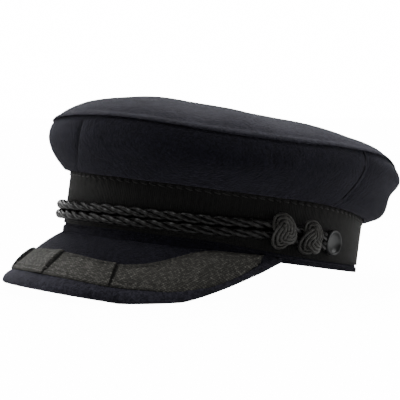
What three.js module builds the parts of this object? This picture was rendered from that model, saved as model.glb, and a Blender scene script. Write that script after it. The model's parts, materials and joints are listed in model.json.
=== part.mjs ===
// A wool captain cap: puffed crown, stiff band with a ribbon, peak with a tucked ribbon, twisted cords, woven
// knots and side buttons. Lengths are in millimetres and angles in degrees. In the cap's own frame the band's
// lower edge lies in the plane z = 0 with its centre at the origin, the front is -Y and the wearer's left is +X.
// A turn is an angle round the band, 0 at the front and 90 at the wearer's left.
import * as THREE from 'three';

// Band and its ribbon
const BAND_INNER_LENGTH = 199;
const BAND_INNER_WIDTH = 170;
const BAND_WALL = 2.4;
const BAND_HEIGHT = 41;
const HEM_HEIGHT = 7.2;
const HEM_PROUD = 1.3;
const RIBBON_THICKNESS = 0.8;
const RIBBON_CLEARANCE = 0.6;
const GAP = 0.3;

// Crown
const CLOTH = 1.8;
const CROWN_OVERHANG = 17.4;
const SEAM_HEIGHT = 75.5;
const DROOP = 10;
const DOME_RISE = 21.8;
const DOME_PEAK_FORWARD = 14;
const RIDGE = 1.2;
const CROWN_SEAM_DEPTH = 1.1;
const CROWN_SEAM_WIDTH = 5;

// Peak and its ribbon
const VISOR_TURN = 80.5;
const VISOR_REACH = 36;
const VISOR_END_WIDTH = 2.6;
const VISOR_DROP = 36.4;
const VISOR_THICKNESS = 3.4;
const VISOR_SEAT = 3.2;
const VISOR_FIRST_SLOPE = 0.58;
const VISOR_CORNER_POWER = 2.2;
const VISOR_BORDER = 9;
const VISOR_RIBBON_WIDTH = 21;
const TUCK_WIDTH = 3;
const VISOR_RIBBON_LIFT = 0.6;

// Cords, knots and buttons
const CORD_DIAMETER = 5.6;
const CORD_SIDES = 8;
const CORD_STEPS = 36;
const CORD_END_TURN = 75;
const KNOT_FRONT_TURN = 79.7;
const KNOT_REAR_TURN = 91.2;
const KNOT_FRONT_HEIGHT = 19.2;
const KNOT_REAR_HEIGHT = 17.1;
const KNOT_TALL = 22;
const KNOT_DEEP = 10.4;
const KNOT_WIDE = 18;
const KNOT_FRONT_LEAN = 0;
const KNOT_REAR_LEAN = -22;
const BUTTON_TURN = 104.2;
const BUTTON_HEIGHT = 16.7;
const BUTTON_DIAMETER = 16;
const BUTTON_THICKNESS = 4;

// Turn between neighbouring columns of the crown and band
const COLUMN_STEP = 6;

// Upright seams of the crown: turn at the band, and how much further round the seam's top lies
const CROWN_SEAMS = [
	{ turn: -5, lean: 10 },
	{ turn: 101.5, lean: 4.5 },
	{ turn: 180, lean: 0 },
	{ turn: 255, lean: -1 }
];

// The crown all the way round: height of its top seam as a share of the seam height, and its droop over the band
// as a share of the droop
const CROWN_ROWS = [
	{ turn: -180, height: 0.91, droop: 0.85 },
	{ turn: -140, height: 0.915, droop: 0.62 },
	{ turn: -100, height: 0.98, droop: 0.14 },
	{ turn: -60, height: 0.945, droop: 0.03 },
	{ turn: -34, height: 0.945, droop: -0.02 },
	{ turn: 0, height: 0.972, droop: 0.17 },
	{ turn: 20, height: 0.98, droop: 0.23 },
	{ turn: 55, height: 0.952, droop: 0.26 },
	{ turn: 78, height: 0.968, droop: 0.18 },
	{ turn: 98, height: 1, droop: 0.15 },
	{ turn: 118, height: 0.985, droop: 0.31 },
	{ turn: 130, height: 0.95, droop: 0.5 },
	{ turn: 142, height: 0.913, droop: 0.68 },
	{ turn: 180, height: 0.91, droop: 0.85 }
];

// What changes from the front to the back on both sides: height of the hem and of the peak's seat as shares of
// their sizes, and how far the panel outline is the front one
const SIDE_ROWS = [
	{ turn: 0, hem: 0.86, seat: 0.5, front: 1 },
	{ turn: 40, hem: 0.92, seat: 0.42, front: 1 },
	{ turn: 58, hem: 0.95, seat: 0.75, front: 1 },
	{ turn: 78, hem: 0.72, seat: 1, front: 0.95 },
	{ turn: 94, hem: 0.6, seat: 1, front: 0.85 },
	{ turn: 114, hem: 0.58, seat: 1, front: 0.5 },
	{ turn: 130, hem: 0.58, seat: 1, front: 0.15 },
	{ turn: 142, hem: 0.58, seat: 1, front: 0 },
	{ turn: 180, hem: 0.58, seat: 1, front: 0 }
];

// Side panel outline above the droop, front and back: out is a share of the overhang past the ribbon, and up a
// share of the height from the droop to the top seam.
const PANEL_ROWS = [
	{ frontOut: 0.32, frontUp: 0.05, backOut: 0.44, backUp: 0.14 },
	{ frontOut: 0.5, frontUp: 0.17, backOut: 0.61, backUp: 0.31 },
	{ frontOut: 0.78, frontUp: 0.34, backOut: 0.78, backUp: 0.5 },
	{ frontOut: 0.95, frontUp: 0.52, backOut: 0.97, backUp: 0.65 },
	{ frontOut: 1, frontUp: 0.68, backOut: 1.07, backUp: 0.79 },
	{ frontOut: 0.98, frontUp: 0.85, backOut: 1.05, backUp: 0.91 },
	{ frontOut: 0.9, frontUp: 1, backOut: 0.95, backUp: 1 }
];

// Dome from its peak to the seam: across is a share of the way out, rise a share of the dome's rise and ridge a
// share of the seam ridge's height.
const DOME_ROWS = [
	{ across: 0, rise: 1, ridge: 0 },
	{ across: 0.24, rise: 0.99, ridge: 0 },
	{ across: 0.45, rise: 0.95, ridge: 0 },
	{ across: 0.64, rise: 0.81, ridge: 0 },
	{ across: 0.79, rise: 0.62, ridge: 0 },
	{ across: 0.9, rise: 0.41, ridge: 0 },
	{ across: 0.955, rise: 0.24, ridge: 0 },
	{ across: 0.975, rise: 0.15, ridge: -0.2 },
	{ across: 0.988, rise: 0.08, ridge: 0.8 },
	{ across: 1, rise: 0.02, ridge: 0.7 }
];

// Soft hollows and swells of the dome: depth is a share of the dome's rise, reach and spread are shares of the
// way from the peak to the seam.
const DOME_DENTS = [
	{ turn: -8, reach: 0.62, depth: 0.05, halfAngle: 16, spread: 0.3 },
	{ turn: 38, reach: 0.7, depth: -0.06, halfAngle: 17, spread: 0.25 },
	{ turn: 74, reach: 0.58, depth: 0.04, halfAngle: 15, spread: 0.3 },
	{ turn: 150, reach: 0.66, depth: 0.2, halfAngle: 48, spread: 0.4 },
	{ turn: 128, reach: 0.66, depth: -0.04, halfAngle: 20, spread: 0.3 },
	{ turn: 196, reach: 0.6, depth: 0.05, halfAngle: 18, spread: 0.28 },
	{ turn: 262, reach: 0.66, depth: 0.05, halfAngle: 18, spread: 0.3 },
	{ turn: 316, reach: 0.7, depth: -0.05, halfAngle: 16, spread: 0.25 }
];

// Soft folds of the side panels: depth is a share of the overhang, up a share of the panel's height.
const PANEL_FOLDS = [
	{ turn: 22, up: 0.42, depth: 0.07, halfAngle: 9, spread: 0.3 },
	{ turn: 58, up: 0.5, depth: -0.05, halfAngle: 14, spread: 0.3 },
	{ turn: 84, up: 0.4, depth: 0.06, halfAngle: 8, spread: 0.28 },
	{ turn: 140, up: 0.45, depth: 0.1, halfAngle: 9, spread: 0.25 },
	{ turn: 168, up: 0.5, depth: -0.05, halfAngle: 12, spread: 0.3 },
	{ turn: 206, up: 0.42, depth: 0.09, halfAngle: 10, spread: 0.28 },
	{ turn: 240, up: 0.5, depth: -0.05, halfAngle: 12, spread: 0.3 },
	{ turn: 286, up: 0.42, depth: 0.06, halfAngle: 9, spread: 0.28 },
	{ turn: 330, up: 0.45, depth: 0.06, halfAngle: 9, spread: 0.3 }
];

// Peak's outer edge: how far it has dropped, as a share of the full drop, against its reach forward.
const VISOR_DROP_ROWS = [
	{ reach: 0, drop: 0 },
	{ reach: 0.07, drop: 0.06 },
	{ reach: 0.155, drop: 0.24 },
	{ reach: 0.28, drop: 0.49 },
	{ reach: 0.51, drop: 0.85 },
	{ reach: 0.71, drop: 0.99 },
	{ reach: 0.85, drop: 1 },
	{ reach: 1, drop: 0.985 }
];

// Points across the peak, from the band to its edge, as shares
const VISOR_ACROSS = [0, 0.16, 0.34, 0.52, 0.7, 0.86, 0.96, 1];

// Peak's ribbon on both sides of the front: the border outside it and its own width, as shares of their sizes
const PEAK_RIBBON_ROWS = [
	{ turn: 0, border: 1, width: 1 },
	{ turn: 16, border: 0.95, width: 0.92 },
	{ turn: 30, border: 0.85, width: 0.83 },
	{ turn: 40, border: 0.88, width: 0.93 },
	{ turn: 48, border: 0.9, width: 1.22 },
	{ turn: 56, border: 0.85, width: 1.5 },
	{ turn: 80, border: 0.7, width: 1.6 }
];

// Tucks of the peak's ribbon: skew is how far the tuck's outer end lies round from its inner one, and height a
// share of the ribbon's thickness.
const TUCKS = [
	{ turn: -50, skew: -3, height: 1.1 },
	{ turn: -23.5, skew: -1, height: 1.4 },
	{ turn: 3.2, skew: -0.2, height: 1.4 },
	{ turn: 29.6, skew: 3, height: 1.1 }
];

// Heights of the two cords above the band's lower edge
const CORD_ROUTE = [
	{ turn: 0, upper: 18.3, lower: 12.2 },
	{ turn: 20, upper: 18.6, lower: 12.5 },
	{ turn: 40, upper: 19, lower: 12.9 },
	{ turn: 58, upper: 20.1, lower: 14 },
	{ turn: 76, upper: 21.9, lower: 15.9 }
];

// Woven knots: the dome from its edge on the ribbon up to its middle. Out is a share of the way to the lobed
// outline, high a share of the depth and lobe a share of the relief that the crossing bundles leave.
const KNOT_ROWS = [
	{ out: 0.9, high: 0, lobe: 0 },
	{ out: 0.98, high: 0.18, lobe: 0 },
	{ out: 1, high: 0.42, lobe: 0.2 },
	{ out: 0.94, high: 0.66, lobe: 0.6 },
	{ out: 0.8, high: 0.84, lobe: 1 },
	{ out: 0.56, high: 0.95, lobe: 1 },
	{ out: 0.28, high: 0.98, lobe: 0.5 },
	{ out: 0, high: 0.93, lobe: 0 }
];
const KNOT_COLUMNS = 24;
const KNOT_LOBES = 3;
const LOBE_REACH = 0.09;
const LOBE_RELIEF = 0.1;

const RIBBON_FACE = BAND_WALL + GAP + RIBBON_THICKNESS;
const HEM_FACE = BAND_WALL + HEM_PROUD;
const BAND_HALF_LENGTH = BAND_INNER_LENGTH / 2;
const BAND_HALF_WIDTH = BAND_INNER_WIDTH / 2;

// A point round the band, out from its inner face and up from its lower edge
function bandPoint(turn, out, up) {
	const angle = THREE.MathUtils.degToRad(turn);
	const normal = new THREE.Vector2(BAND_HALF_LENGTH * Math.sin(angle), -BAND_HALF_WIDTH * Math.cos(angle));
	normal.normalize();
	const x = BAND_HALF_WIDTH * Math.sin(angle) + out * normal.x;
	const y = -BAND_HALF_LENGTH * Math.cos(angle) + out * normal.y;
	return new THREE.Vector3(x, y, up);
}

// The outward direction at a turn
function bandNormal(turn) {
	return bandPoint(turn, 1, 0).sub(bandPoint(turn, 0, 0));
}

// Millimetres of the band's face for one degree of turn
function faceLength(turn, out) {
	return bandPoint(turn + 0.5, out, 0).distanceTo(bandPoint(turn - 0.5, out, 0));
}

// A smooth value between the rows of a table
function between(rows, key, value, at) {
	const last = rows.length - 1;
	let i = 0;
	while (i < last - 1 && at > rows[i + 1][key]) {
		i += 1;
	}
	const span = rows[i + 1][key] - rows[i][key];
	const share = THREE.MathUtils.clamp((at - rows[i][key]) / span, 0, 1);
	const slope = (j) => {
		const low = rows[Math.max(j - 1, 0)];
		const high = rows[Math.min(j + 1, last)];
		return (high[value] - low[value]) / (high[key] - low[key]);
	};
	const a = rows[i][value];
	const b = rows[i + 1][value];
	const s2 = share * share;
	const s3 = s2 * share;
	const rise = a * (2 * s3 - 3 * s2 + 1) + b * (3 * s2 - 2 * s3);
	return rise + span * (slope(i) * (s3 - 2 * s2 + share) + slope(i + 1) * (s3 - s2));
}

// How strongly a soft dent acts at a place: 1 at its middle, fading to 0
function fade(distance) {
	return Math.exp(-distance * distance);
}

// Difference of two turns, between -180 and 180
function turnApart(a, b) {
	return THREE.MathUtils.euclideanModulo(a - b + 180, 360) - 180;
}

// A value that is the same on both sides of the cap
function sideValue(name, turn) {
	return between(SIDE_ROWS, 'turn', name, Math.abs(turnApart(turn, 0)));
}

function seamHeight(turn) {
	return SEAM_HEIGHT * between(CROWN_ROWS, 'turn', 'height', turnApart(turn, 0));
}

function hemHeight(turn) {
	return HEM_HEIGHT * sideValue('hem', turn);
}

// The lowest level of the crown's droop
function droopLevel(turn) {
	return BAND_HEIGHT - DROOP * between(CROWN_ROWS, 'turn', 'droop', turnApart(turn, 0));
}

// A closed body from sections that each have an outer and an inner row of points. Neighbouring sections are
// joined, and an open run is closed at both ends. Points that coincide are made one.
function loft(sections, closed) {
	const places = new Map();
	const positions = [];
	const place = (point) => {
		const key = point.toArray().map((value) => Math.round(value * 1e4)).join(' ');
		if (!places.has(key)) {
			places.set(key, positions.length / 3);
			positions.push(point.x, point.y, point.z);
		}
		return places.get(key);
	};
	const rings = sections.map(({ outer, inner }) => [...outer, ...[...inner].reverse()].map(place));
	const faces = [];
	const triangle = (a, b, c) => {
		if (a !== b && b !== c && c !== a) {
			faces.push(a, b, c);
		}
	};
	const quad = (a, b, c, d) => {
		triangle(a, b, c);
		triangle(a, c, d);
	};
	const count = rings[0].length;
	const joints = closed ? rings.length : rings.length - 1;
	for (let i = 0; i < joints; i += 1) {
		const here = rings[i];
		const next = rings[(i + 1) % rings.length];
		for (let k = 0; k < count; k += 1) {
			const l = (k + 1) % count;
			quad(here[k], next[k], next[l], here[l]);
		}
	}
	if (!closed) {
		const half = count / 2;
		const first = rings[0];
		const last = rings[rings.length - 1];
		for (let k = 0; k < half - 1; k += 1) {
			const under = count - 1 - k;
			quad(first[k], first[k + 1], first[under - 1], first[under]);
			quad(last[k + 1], last[k], last[under], last[under - 1]);
		}
	}
	const geometry = new THREE.BufferGeometry();
	geometry.setAttribute('position', new THREE.Float32BufferAttribute(positions, 3));
	geometry.setIndex(faces);
	return geometry;
}

// Even columns from one turn to another, both ends included
function columns(from, to) {
	const count = Math.max(1, Math.round((to - from) / COLUMN_STEP));
	return Array.from({ length: count + 1 }, (_, i) => THREE.MathUtils.lerp(from, to, i / count));
}

// The inner row of a wall: each outer point moved in by the wall's thickness, square to its row
function wallInside(row, thickness, lastDirection) {
	return row.map((point, i) => {
		const before = row[Math.max(i - 1, 0)];
		const after = row[Math.min(i + 1, row.length - 1)];
		const along = after.clone().sub(before).normalize();
		const away = i === row.length - 1 ? lastDirection : new THREE.Vector2(along.y, -along.x);
		return point.clone().addScaledVector(away, -thickness);
	});
}

// Crown side panels

function panelFold(turn, up) {
	let depth = 0;
	for (const fold of PANEL_FOLDS) {
		const sideways = turnApart(turn, fold.turn) / fold.halfAngle;
		depth += fold.depth * fade(sideways) * fade((up - fold.up) / fold.spread);
	}
	return depth * CROWN_OVERHANG;
}

// A seam's turn at a share of the panel's height
function seamTurn(seam, up) {
	return seam.turn + seam.lean * (1 - (1 - THREE.MathUtils.clamp(up, 0, 1)) ** 3);
}

// Pull of the upright seams on the cloth beside them
function seamPull(turn, up) {
	let pull = 0;
	for (const seam of CROWN_SEAMS) {
		const apart = Math.abs(turnApart(turn, seamTurn(seam, up)));
		pull += CROWN_SEAM_DEPTH * fade((apart * faceLength(turn, RIBBON_FACE + CROWN_OVERHANG)) / CROWN_SEAM_WIDTH);
	}
	return pull;
}

// The cloth's outer face above the droop, as out and up at one turn
function panelRow(turn, row) {
	const front = sideValue('front', turn);
	const low = droopLevel(turn);
	const shareOut = THREE.MathUtils.lerp(row.backOut, row.frontOut, front);
	const shareUp = THREE.MathUtils.lerp(row.backUp, row.frontUp, front);
	const swell = Math.sin(Math.PI * shareUp) * (seamPull(turn, shareUp) + panelFold(turn, shareUp));
	const out = RIBBON_FACE + CROWN_OVERHANG * shareOut - swell;
	return new THREE.Vector2(out, low + (seamHeight(turn) - low) * shareUp);
}

function seamPoint(turn) {
	return panelRow(turn, PANEL_ROWS[PANEL_ROWS.length - 1]);
}

// One section, from the band's top edge down beside the ribbon, round the droop and up to the top seam. It lies
// a share of the way from one upright seam to the next.
function panelSection(first, second, share) {
	const rowTurn = (up) => THREE.MathUtils.lerp(seamTurn(first, up), seamTurn(second, up), share);
	const foot = rowTurn(0);
	const low = droopLevel(foot);
	const beside = RIBBON_FACE + GAP;
	const seat = BAND_HEIGHT + GAP;
	const turns = PANEL_ROWS.map((row) => rowTurn(row.frontUp));
	const upper = PANEL_ROWS.map((row, i) => panelRow(turns[i], row));
	upper[upper.length - 1].y -= GAP / 2;
	const outer = [
		new THREE.Vector2(GAP, seat),
		new THREE.Vector2(RIBBON_FACE, seat),
		new THREE.Vector2(beside, BAND_HEIGHT - GAP),
		new THREE.Vector2(beside, low + 0.6 * CLOTH),
		new THREE.Vector2(beside + 0.5 * CLOTH, low),
		new THREE.Vector2(beside + 2 * CLOTH, low),
		...upper
	];
	const upperInside = wallInside(upper, CLOTH, new THREE.Vector2(1, 0));
	const corner = new THREE.Vector2(beside + CLOTH, seat + 0.8 * CLOTH);
	const inner = [
		new THREE.Vector2(GAP, seat + CLOTH),
		new THREE.Vector2(RIBBON_FACE, seat + CLOTH),
		corner,
		corner.clone().lerp(upperInside[0], 0.25),
		corner.clone().lerp(upperInside[0], 0.5),
		corner.clone().lerp(upperInside[0], 0.75),
		...upperInside
	];
	const lower = outer.length - turns.length;
	const stand = (point, i) => bandPoint(i < lower ? foot : turns[i - lower], point.x, point.y);
	return { outer: outer.map(stand), inner: inner.map(stand) };
}

// A side panel between two neighbouring upright seams
function crownPanel(first, second) {
	const spare = GAP / 2 / faceLength(first.turn, BAND_WALL) / (second.turn - first.turn);
	const count = Math.round((second.turn - first.turn) / COLUMN_STEP);
	const shares = Array.from({ length: count + 1 }, (_, i) => THREE.MathUtils.lerp(spare, 1 - spare, i / count));
	return loft(shares.map((share) => panelSection(first, second, share)), false);
}

// Crown top

function domeDent(turn, across) {
	let depth = 0;
	for (const dent of DOME_DENTS) {
		const sideways = turnApart(turn, dent.turn) / dent.halfAngle;
		depth += dent.depth * fade(sideways) * fade((across - dent.reach) / dent.spread);
	}
	return depth * DOME_RISE * Math.sin(Math.PI * across);
}

function domeSection(turn) {
	const seam = seamPoint(turn);
	const peakHeight = (seamHeight(0) + seamHeight(180)) / 2;
	const peak = new THREE.Vector3(0, -DOME_PEAK_FORWARD, 0);
	const rim = bandPoint(turn, seam.x, 0);
	const away = rim.clone().sub(peak);
	const length = away.length();
	away.normalize();
	const row = DOME_ROWS.map(({ across, rise }) => {
		const base = THREE.MathUtils.lerp(peakHeight, seam.y, across);
		return new THREE.Vector2(across * length, base + rise * DOME_RISE - domeDent(turn, across));
	});
	row[row.length - 1].y = seam.y + GAP / 2;
	const sideways = new THREE.Vector2(-1, 0);
	const under = row.map((point, i) => {
		const before = row[Math.max(i - 1, 0)];
		const after = row[Math.min(i + 1, row.length - 1)];
		const along = after.clone().sub(before).normalize();
		const inward = i === 0 ? new THREE.Vector2(0, -1) : new THREE.Vector2(along.y, -along.x);
		return i === row.length - 1 ? sideways : inward;
	});
	const outer = row.map((point, i) => point.clone().addScaledVector(under[i], -DOME_ROWS[i].ridge * RIDGE));
	const inner = row.map((point, i) => point.clone().addScaledVector(under[i], CLOTH));
	const stand = (point) => peak.clone().addScaledVector(away, point.x).setZ(point.y);
	return { outer: inner.map(stand), inner: outer.map(stand) };
}

function crownTop() {
	return loft(columns(0, 360 - COLUMN_STEP).map(domeSection), true);
}

// Band and ribbon

function bandSection(turn) {
	const faces = [
		[HEM_FACE, 0],
		[HEM_FACE, hemHeight(turn) - HEM_PROUD],
		[BAND_WALL, hemHeight(turn)],
		[BAND_WALL, BAND_HEIGHT]
	];
	return {
		outer: faces.map(([out, up]) => bandPoint(turn, out, up)),
		inner: faces.map(([, up]) => bandPoint(turn, 0, up))
	};
}

function ribbonSection(turn) {
	const heights = [hemHeight(turn) + RIBBON_CLEARANCE, BAND_HEIGHT - RIBBON_CLEARANCE];
	return {
		outer: heights.map((up) => bandPoint(turn, RIBBON_FACE, up)),
		inner: heights.map((up) => bandPoint(turn, RIBBON_FACE - RIBBON_THICKNESS, up))
	};
}

function bandRing(section) {
	return loft(columns(0, 360 - COLUMN_STEP).map(section), true);
}

// Peak

function visorInnerEdge(turn) {
	return bandPoint(turn, HEM_FACE + GAP, VISOR_SEAT * sideValue('seat', turn));
}

function visorOuterEdge(turn) {
	const end = visorInnerEdge(VISOR_TURN);
	const front = visorInnerEdge(0);
	const angle = (Math.PI / 2) * (turn / VISOR_TURN);
	const power = 2 / VISOR_CORNER_POWER;
	const reach = Math.abs(Math.cos(angle)) ** power;
	const side = Math.sign(angle) * Math.abs(Math.sin(angle)) ** power;
	const x = (end.x + VISOR_END_WIDTH) * side;
	const y = end.y - (end.y - front.y + VISOR_REACH) * reach;
	return new THREE.Vector3(x, y, end.z - VISOR_DROP * between(VISOR_DROP_ROWS, 'reach', 'drop', reach));
}

// A point of the peak's upper face: across is 0 at the band and 1 at the outer edge
function visorPoint(turn, across) {
	const inner = visorInnerEdge(turn);
	const outer = visorOuterEdge(turn);
	const fall = VISOR_FIRST_SLOPE * across + (1 - VISOR_FIRST_SLOPE) * across * across;
	const point = inner.clone().lerp(outer, across);
	return point.setZ(THREE.MathUtils.lerp(inner.z, outer.z, fall));
}

// The upper face's outward direction
function visorNormal(turn, across) {
	const reach = 0.02;
	const low = Math.max(across - reach, 0);
	const high = Math.min(across + reach, 1);
	const outward = visorPoint(turn, high).sub(visorPoint(turn, low));
	const span = Math.min(Math.abs(turn) + 1, VISOR_TURN) - 1;
	const middle = Math.sign(turn) * span;
	const round = visorPoint(middle + 1, across).sub(visorPoint(middle - 1, across));
	return round.cross(outward).negate().normalize();
}

function visorSection(turn) {
	const top = VISOR_ACROSS.map((across) => visorPoint(turn, across));
	const normals = VISOR_ACROSS.map((across) => visorNormal(turn, across));
	const under = top.map((point, i) => point.clone().addScaledVector(normals[i], -VISOR_THICKNESS));
	under[0] = top[0].clone().setZ(top[0].z - VISOR_THICKNESS);
	const last = VISOR_ACROSS.length - 1;
	const outward = top[last].clone().sub(top[last - 1]).normalize();
	const nose = (share) => {
		const point = top[last].clone().addScaledVector(normals[last], -share * VISOR_THICKNESS);
		return point.addScaledVector(outward, 0.35 * VISOR_THICKNESS);
	};
	return { outer: [...under, nose(0.7)], inner: [...top, nose(0.3)] };
}

function visorBody() {
	const step = 0.85 * COLUMN_STEP;
	const count = 2 * Math.round(VISOR_TURN / step);
	const turns = Array.from({ length: count + 1 }, (_, i) => VISOR_TURN * (2 * i / count - 1));
	return loft(turns.map(visorSection), false);
}

// Across position of the point that lies a given distance in from the peak's edge
function acrossFromEdge(turn, distance) {
	const steps = 24;
	let left = distance;
	for (let i = steps; i > 0; i -= 1) {
		const piece = visorPoint(turn, i / steps).distanceTo(visorPoint(turn, (i - 1) / steps));
		if (piece >= left) {
			return (i - left / piece) / steps;
		}
		left -= piece;
	}
	return 0;
}

function visorBorder(turn) {
	return VISOR_BORDER * between(PEAK_RIBBON_ROWS, 'turn', 'border', Math.abs(turn));
}

// Turn at which the ribbon's outer edge runs under the band
function visorRibbonEnd() {
	let turn = 0;
	while (turn < VISOR_TURN && acrossFromEdge(turn, visorBorder(turn) + TUCK_WIDTH) > 0) {
		turn += 0.5;
	}
	return turn - 0.5;
}

function tuckHeight(turn, inward) {
	let height = 0;
	for (const tuck of TUCKS) {
		const away = turnApart(turn, tuck.turn + tuck.skew * (1 - inward)) * faceLength(turn, VISOR_REACH);
		height += tuck.height * RIBBON_THICKNESS * fade((2 * away) / TUCK_WIDTH);
	}
	return height;
}

function visorRibbonSection(turn) {
	const border = visorBorder(turn);
	const width = VISOR_RIBBON_WIDTH * between(PEAK_RIBBON_ROWS, 'turn', 'width', Math.abs(turn));
	const outerEdge = acrossFromEdge(turn, border);
	const innerEdge = Math.max(acrossFromEdge(turn, border + width), 0.02);
	const shares = [0, 0.33, 0.67, 1];
	const lift = (extra) => shares.map((share) => {
		const across = THREE.MathUtils.lerp(innerEdge, outerEdge, share);
		const height = extra > 0 ? extra + tuckHeight(turn, 1 - share) : 0;
		return visorPoint(turn, across).addScaledVector(visorNormal(turn, across), VISOR_RIBBON_LIFT + height);
	});
	return { outer: lift(0), inner: lift(RIBBON_THICKNESS) };
}

function visorRibbon() {
	const end = visorRibbonEnd();
	const halfTuck = TUCK_WIDTH / 2 / faceLength(0, VISOR_REACH);
	const turns = columns(-end, end);
	for (const tuck of TUCKS) {
		const middle = tuck.turn + tuck.skew / 2;
		turns.push(middle - 2 * halfTuck, middle - halfTuck, middle, middle + halfTuck, middle + 2 * halfTuck);
	}
	const ordered = turns.filter((turn) => Math.abs(turn) <= end).sort((a, b) => a - b);
	const apart = ordered.filter((turn, i) => i === 0 || turn - ordered[i - 1] > halfTuck / 4);
	return loft(apart.map(visorRibbonSection), false);
}

// Cords

function cord(height) {
	const out = RIBBON_FACE + GAP + CORD_DIAMETER / 2;
	const points = Array.from({ length: 25 }, (_, i) => {
		const turn = CORD_END_TURN * (i / 12 - 1);
		return bandPoint(turn, out, between(CORD_ROUTE, 'turn', height, Math.abs(turn)));
	});
	const section = new THREE.Shape();
	section.absarc(0, 0, CORD_DIAMETER / 2, 0, 2 * Math.PI);
	return new THREE.ExtrudeGeometry(section, {
		curveSegments: CORD_SIDES / 2,
		steps: CORD_STEPS,
		extrudePath: new THREE.CatmullRomCurve3(points)
	});
}

// Knots: domes with three lobes, as four parallel strands woven in three crossings leave. Lean turns the lobes.

function knot({ turn, height, lean }, side) {
	const step = (2 * Math.PI) / KNOT_COLUMNS;
	const perDegree = faceLength(turn, RIBBON_FACE);
	const place = (angle, row) => {
		const lobe = Math.cos(KNOT_LOBES * (angle - THREE.MathUtils.degToRad(lean)));
		const reach = (row.out * (1 + LOBE_REACH * lobe)) / (1 + LOBE_REACH);
		const along = (KNOT_WIDE / 2) * reach * Math.cos(angle);
		const up = height + (KNOT_TALL / 2) * reach * Math.sin(angle);
		const high = row.high + LOBE_RELIEF * row.lobe * (lobe - 1) * 0.5;
		return bandPoint(side * (turn + along / perDegree), RIBBON_FACE + GAP + KNOT_DEEP * high, up);
	};
	const centre = KNOT_ROWS[KNOT_ROWS.length - 1];
	const foot = { out: 0, high: 0, lobe: 0 };
	const sections = Array.from({ length: KNOT_COLUMNS }, (_, i) => {
		const dome = KNOT_ROWS.slice(0, -1).map((row) => place(side * i * step, row));
		const middle = place(0, centre);
		return { outer: [place(0, foot), ...dome], inner: [place(0, foot), ...dome.map(() => middle)] };
	});
	return loft(sections, true);
}

// Buttons: a dished disc with a rolled rim, turned to face out from the band

function button() {
	const radius = BUTTON_DIAMETER / 2;
	const t = BUTTON_THICKNESS;
	const profile = [
		[0, 0],
		[0.82 * radius, 0],
		[radius, 0.4 * t],
		[0.98 * radius, 0.8 * t],
		[0.88 * radius, t],
		[0.74 * radius, 0.8 * t],
		[0.4 * radius, 0.62 * t],
		[0, 0.56 * t]
	];
	return new THREE.LatheGeometry(profile.map(([r, z]) => new THREE.Vector2(r, z)), 16);
}

const wool = () => new THREE.MeshStandardMaterial({ color: 0x14151c, roughness: 0.95, metalness: 0 });
const ribbon = () => new THREE.MeshStandardMaterial({ color: 0x161614, roughness: 0.75, metalness: 0 });
const peakRibbon = () => new THREE.MeshStandardMaterial({ color: 0x23221f, roughness: 0.7, metalness: 0 });
const silk = () => new THREE.MeshStandardMaterial({ color: 0x0f0f0e, roughness: 0.45, metalness: 0 });
const buttonMetal = () => new THREE.MeshStandardMaterial({ color: 0x2a2b2b, roughness: 0.4, metalness: 0.5 });

const cap = new THREE.Group();

function add(name, geometry, material) {
	const mesh = new THREE.Mesh(geometry, material);
	mesh.name = name;
	cap.add(mesh);
	return mesh;
}

add('crown_top', crownTop(), wool());
const [frontSeam, leftSeam, backSeam, rightSeam] = CROWN_SEAMS;
const lastSeam = { turn: frontSeam.turn + 360, lean: frontSeam.lean };
add('crown_panel_front_left', crownPanel(frontSeam, leftSeam), wool());
add('crown_panel_back_left', crownPanel(leftSeam, backSeam), wool());
add('crown_panel_back_right', crownPanel(backSeam, rightSeam), wool());
add('crown_panel_front_right', crownPanel(rightSeam, lastSeam), wool());
const band = add('band', bandRing(bandSection), wool());
add('band_ribbon', bandRing(ribbonSection), ribbon());
const visor = add('visor', visorBody(), wool());
add('visor_ribbon', visorRibbon(), peakRibbon());
add('cord_upper', cord('upper'), silk());
add('cord_lower', cord('lower'), silk());
const frontKnot = { turn: KNOT_FRONT_TURN, height: KNOT_FRONT_HEIGHT, lean: KNOT_FRONT_LEAN };
const rearKnot = { turn: KNOT_REAR_TURN, height: KNOT_REAR_HEIGHT, lean: KNOT_REAR_LEAN };
for (const [name, side] of [['left', 1], ['right', -1]]) {
	add(`knot_${name}_front`, knot(frontKnot, side), silk());
	add(`knot_${name}_rear`, knot(rearKnot, side), silk());
	const disc = add(`button_${name}`, button(), buttonMetal());
	const outward = bandNormal(side * BUTTON_TURN);
	disc.position.copy(bandPoint(side * BUTTON_TURN, RIBBON_FACE + GAP, BUTTON_HEIGHT));
	disc.quaternion.setFromUnitVectors(new THREE.Vector3(0, 1, 0), outward);
}

// The cap rests on the back of its band and the two sides of its peak, so it leans back by the angle between
// the band's lower plane and the plane through those points.
function restingAngle() {
	const back = new THREE.Box3().setFromObject(band).max.y;
	const corners = visor.geometry.getAttribute('position');
	let steepest = 0;
	for (let i = 0; i < corners.count; i += 1) {
		steepest = Math.max(steepest, -corners.getZ(i) / (back - corners.getY(i)));
	}
	return Math.atan(steepest);
}

cap.rotation.x = -restingAngle();
const part = new THREE.Group();
part.add(cap);
part.updateMatrixWorld(true);
const box = new THREE.Box3().setFromObject(part, true);
const middle = box.getCenter(new THREE.Vector3());
cap.position.set(-middle.x, -middle.y, -box.min.z);

export default part;
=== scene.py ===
"""Looks of a wool captain cap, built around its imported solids.

The cap's own frame has the band's lower edge in the plane z = 0, the front at -Y and the wearer's left at +X.
Lengths there are in millimetres. A turn is an angle in degrees round the band, 0 at the front and 90 at the
left.
"""

import json
import math
from functools import partial

import bpy
import numpy as np
from bpy.props import FloatProperty, FloatVectorProperty, IntProperty, PointerProperty
from bpy.types import Operator, Panel, PropertyGroup
from mathutils import Matrix, Vector
from mathutils.kdtree import KDTree


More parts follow.
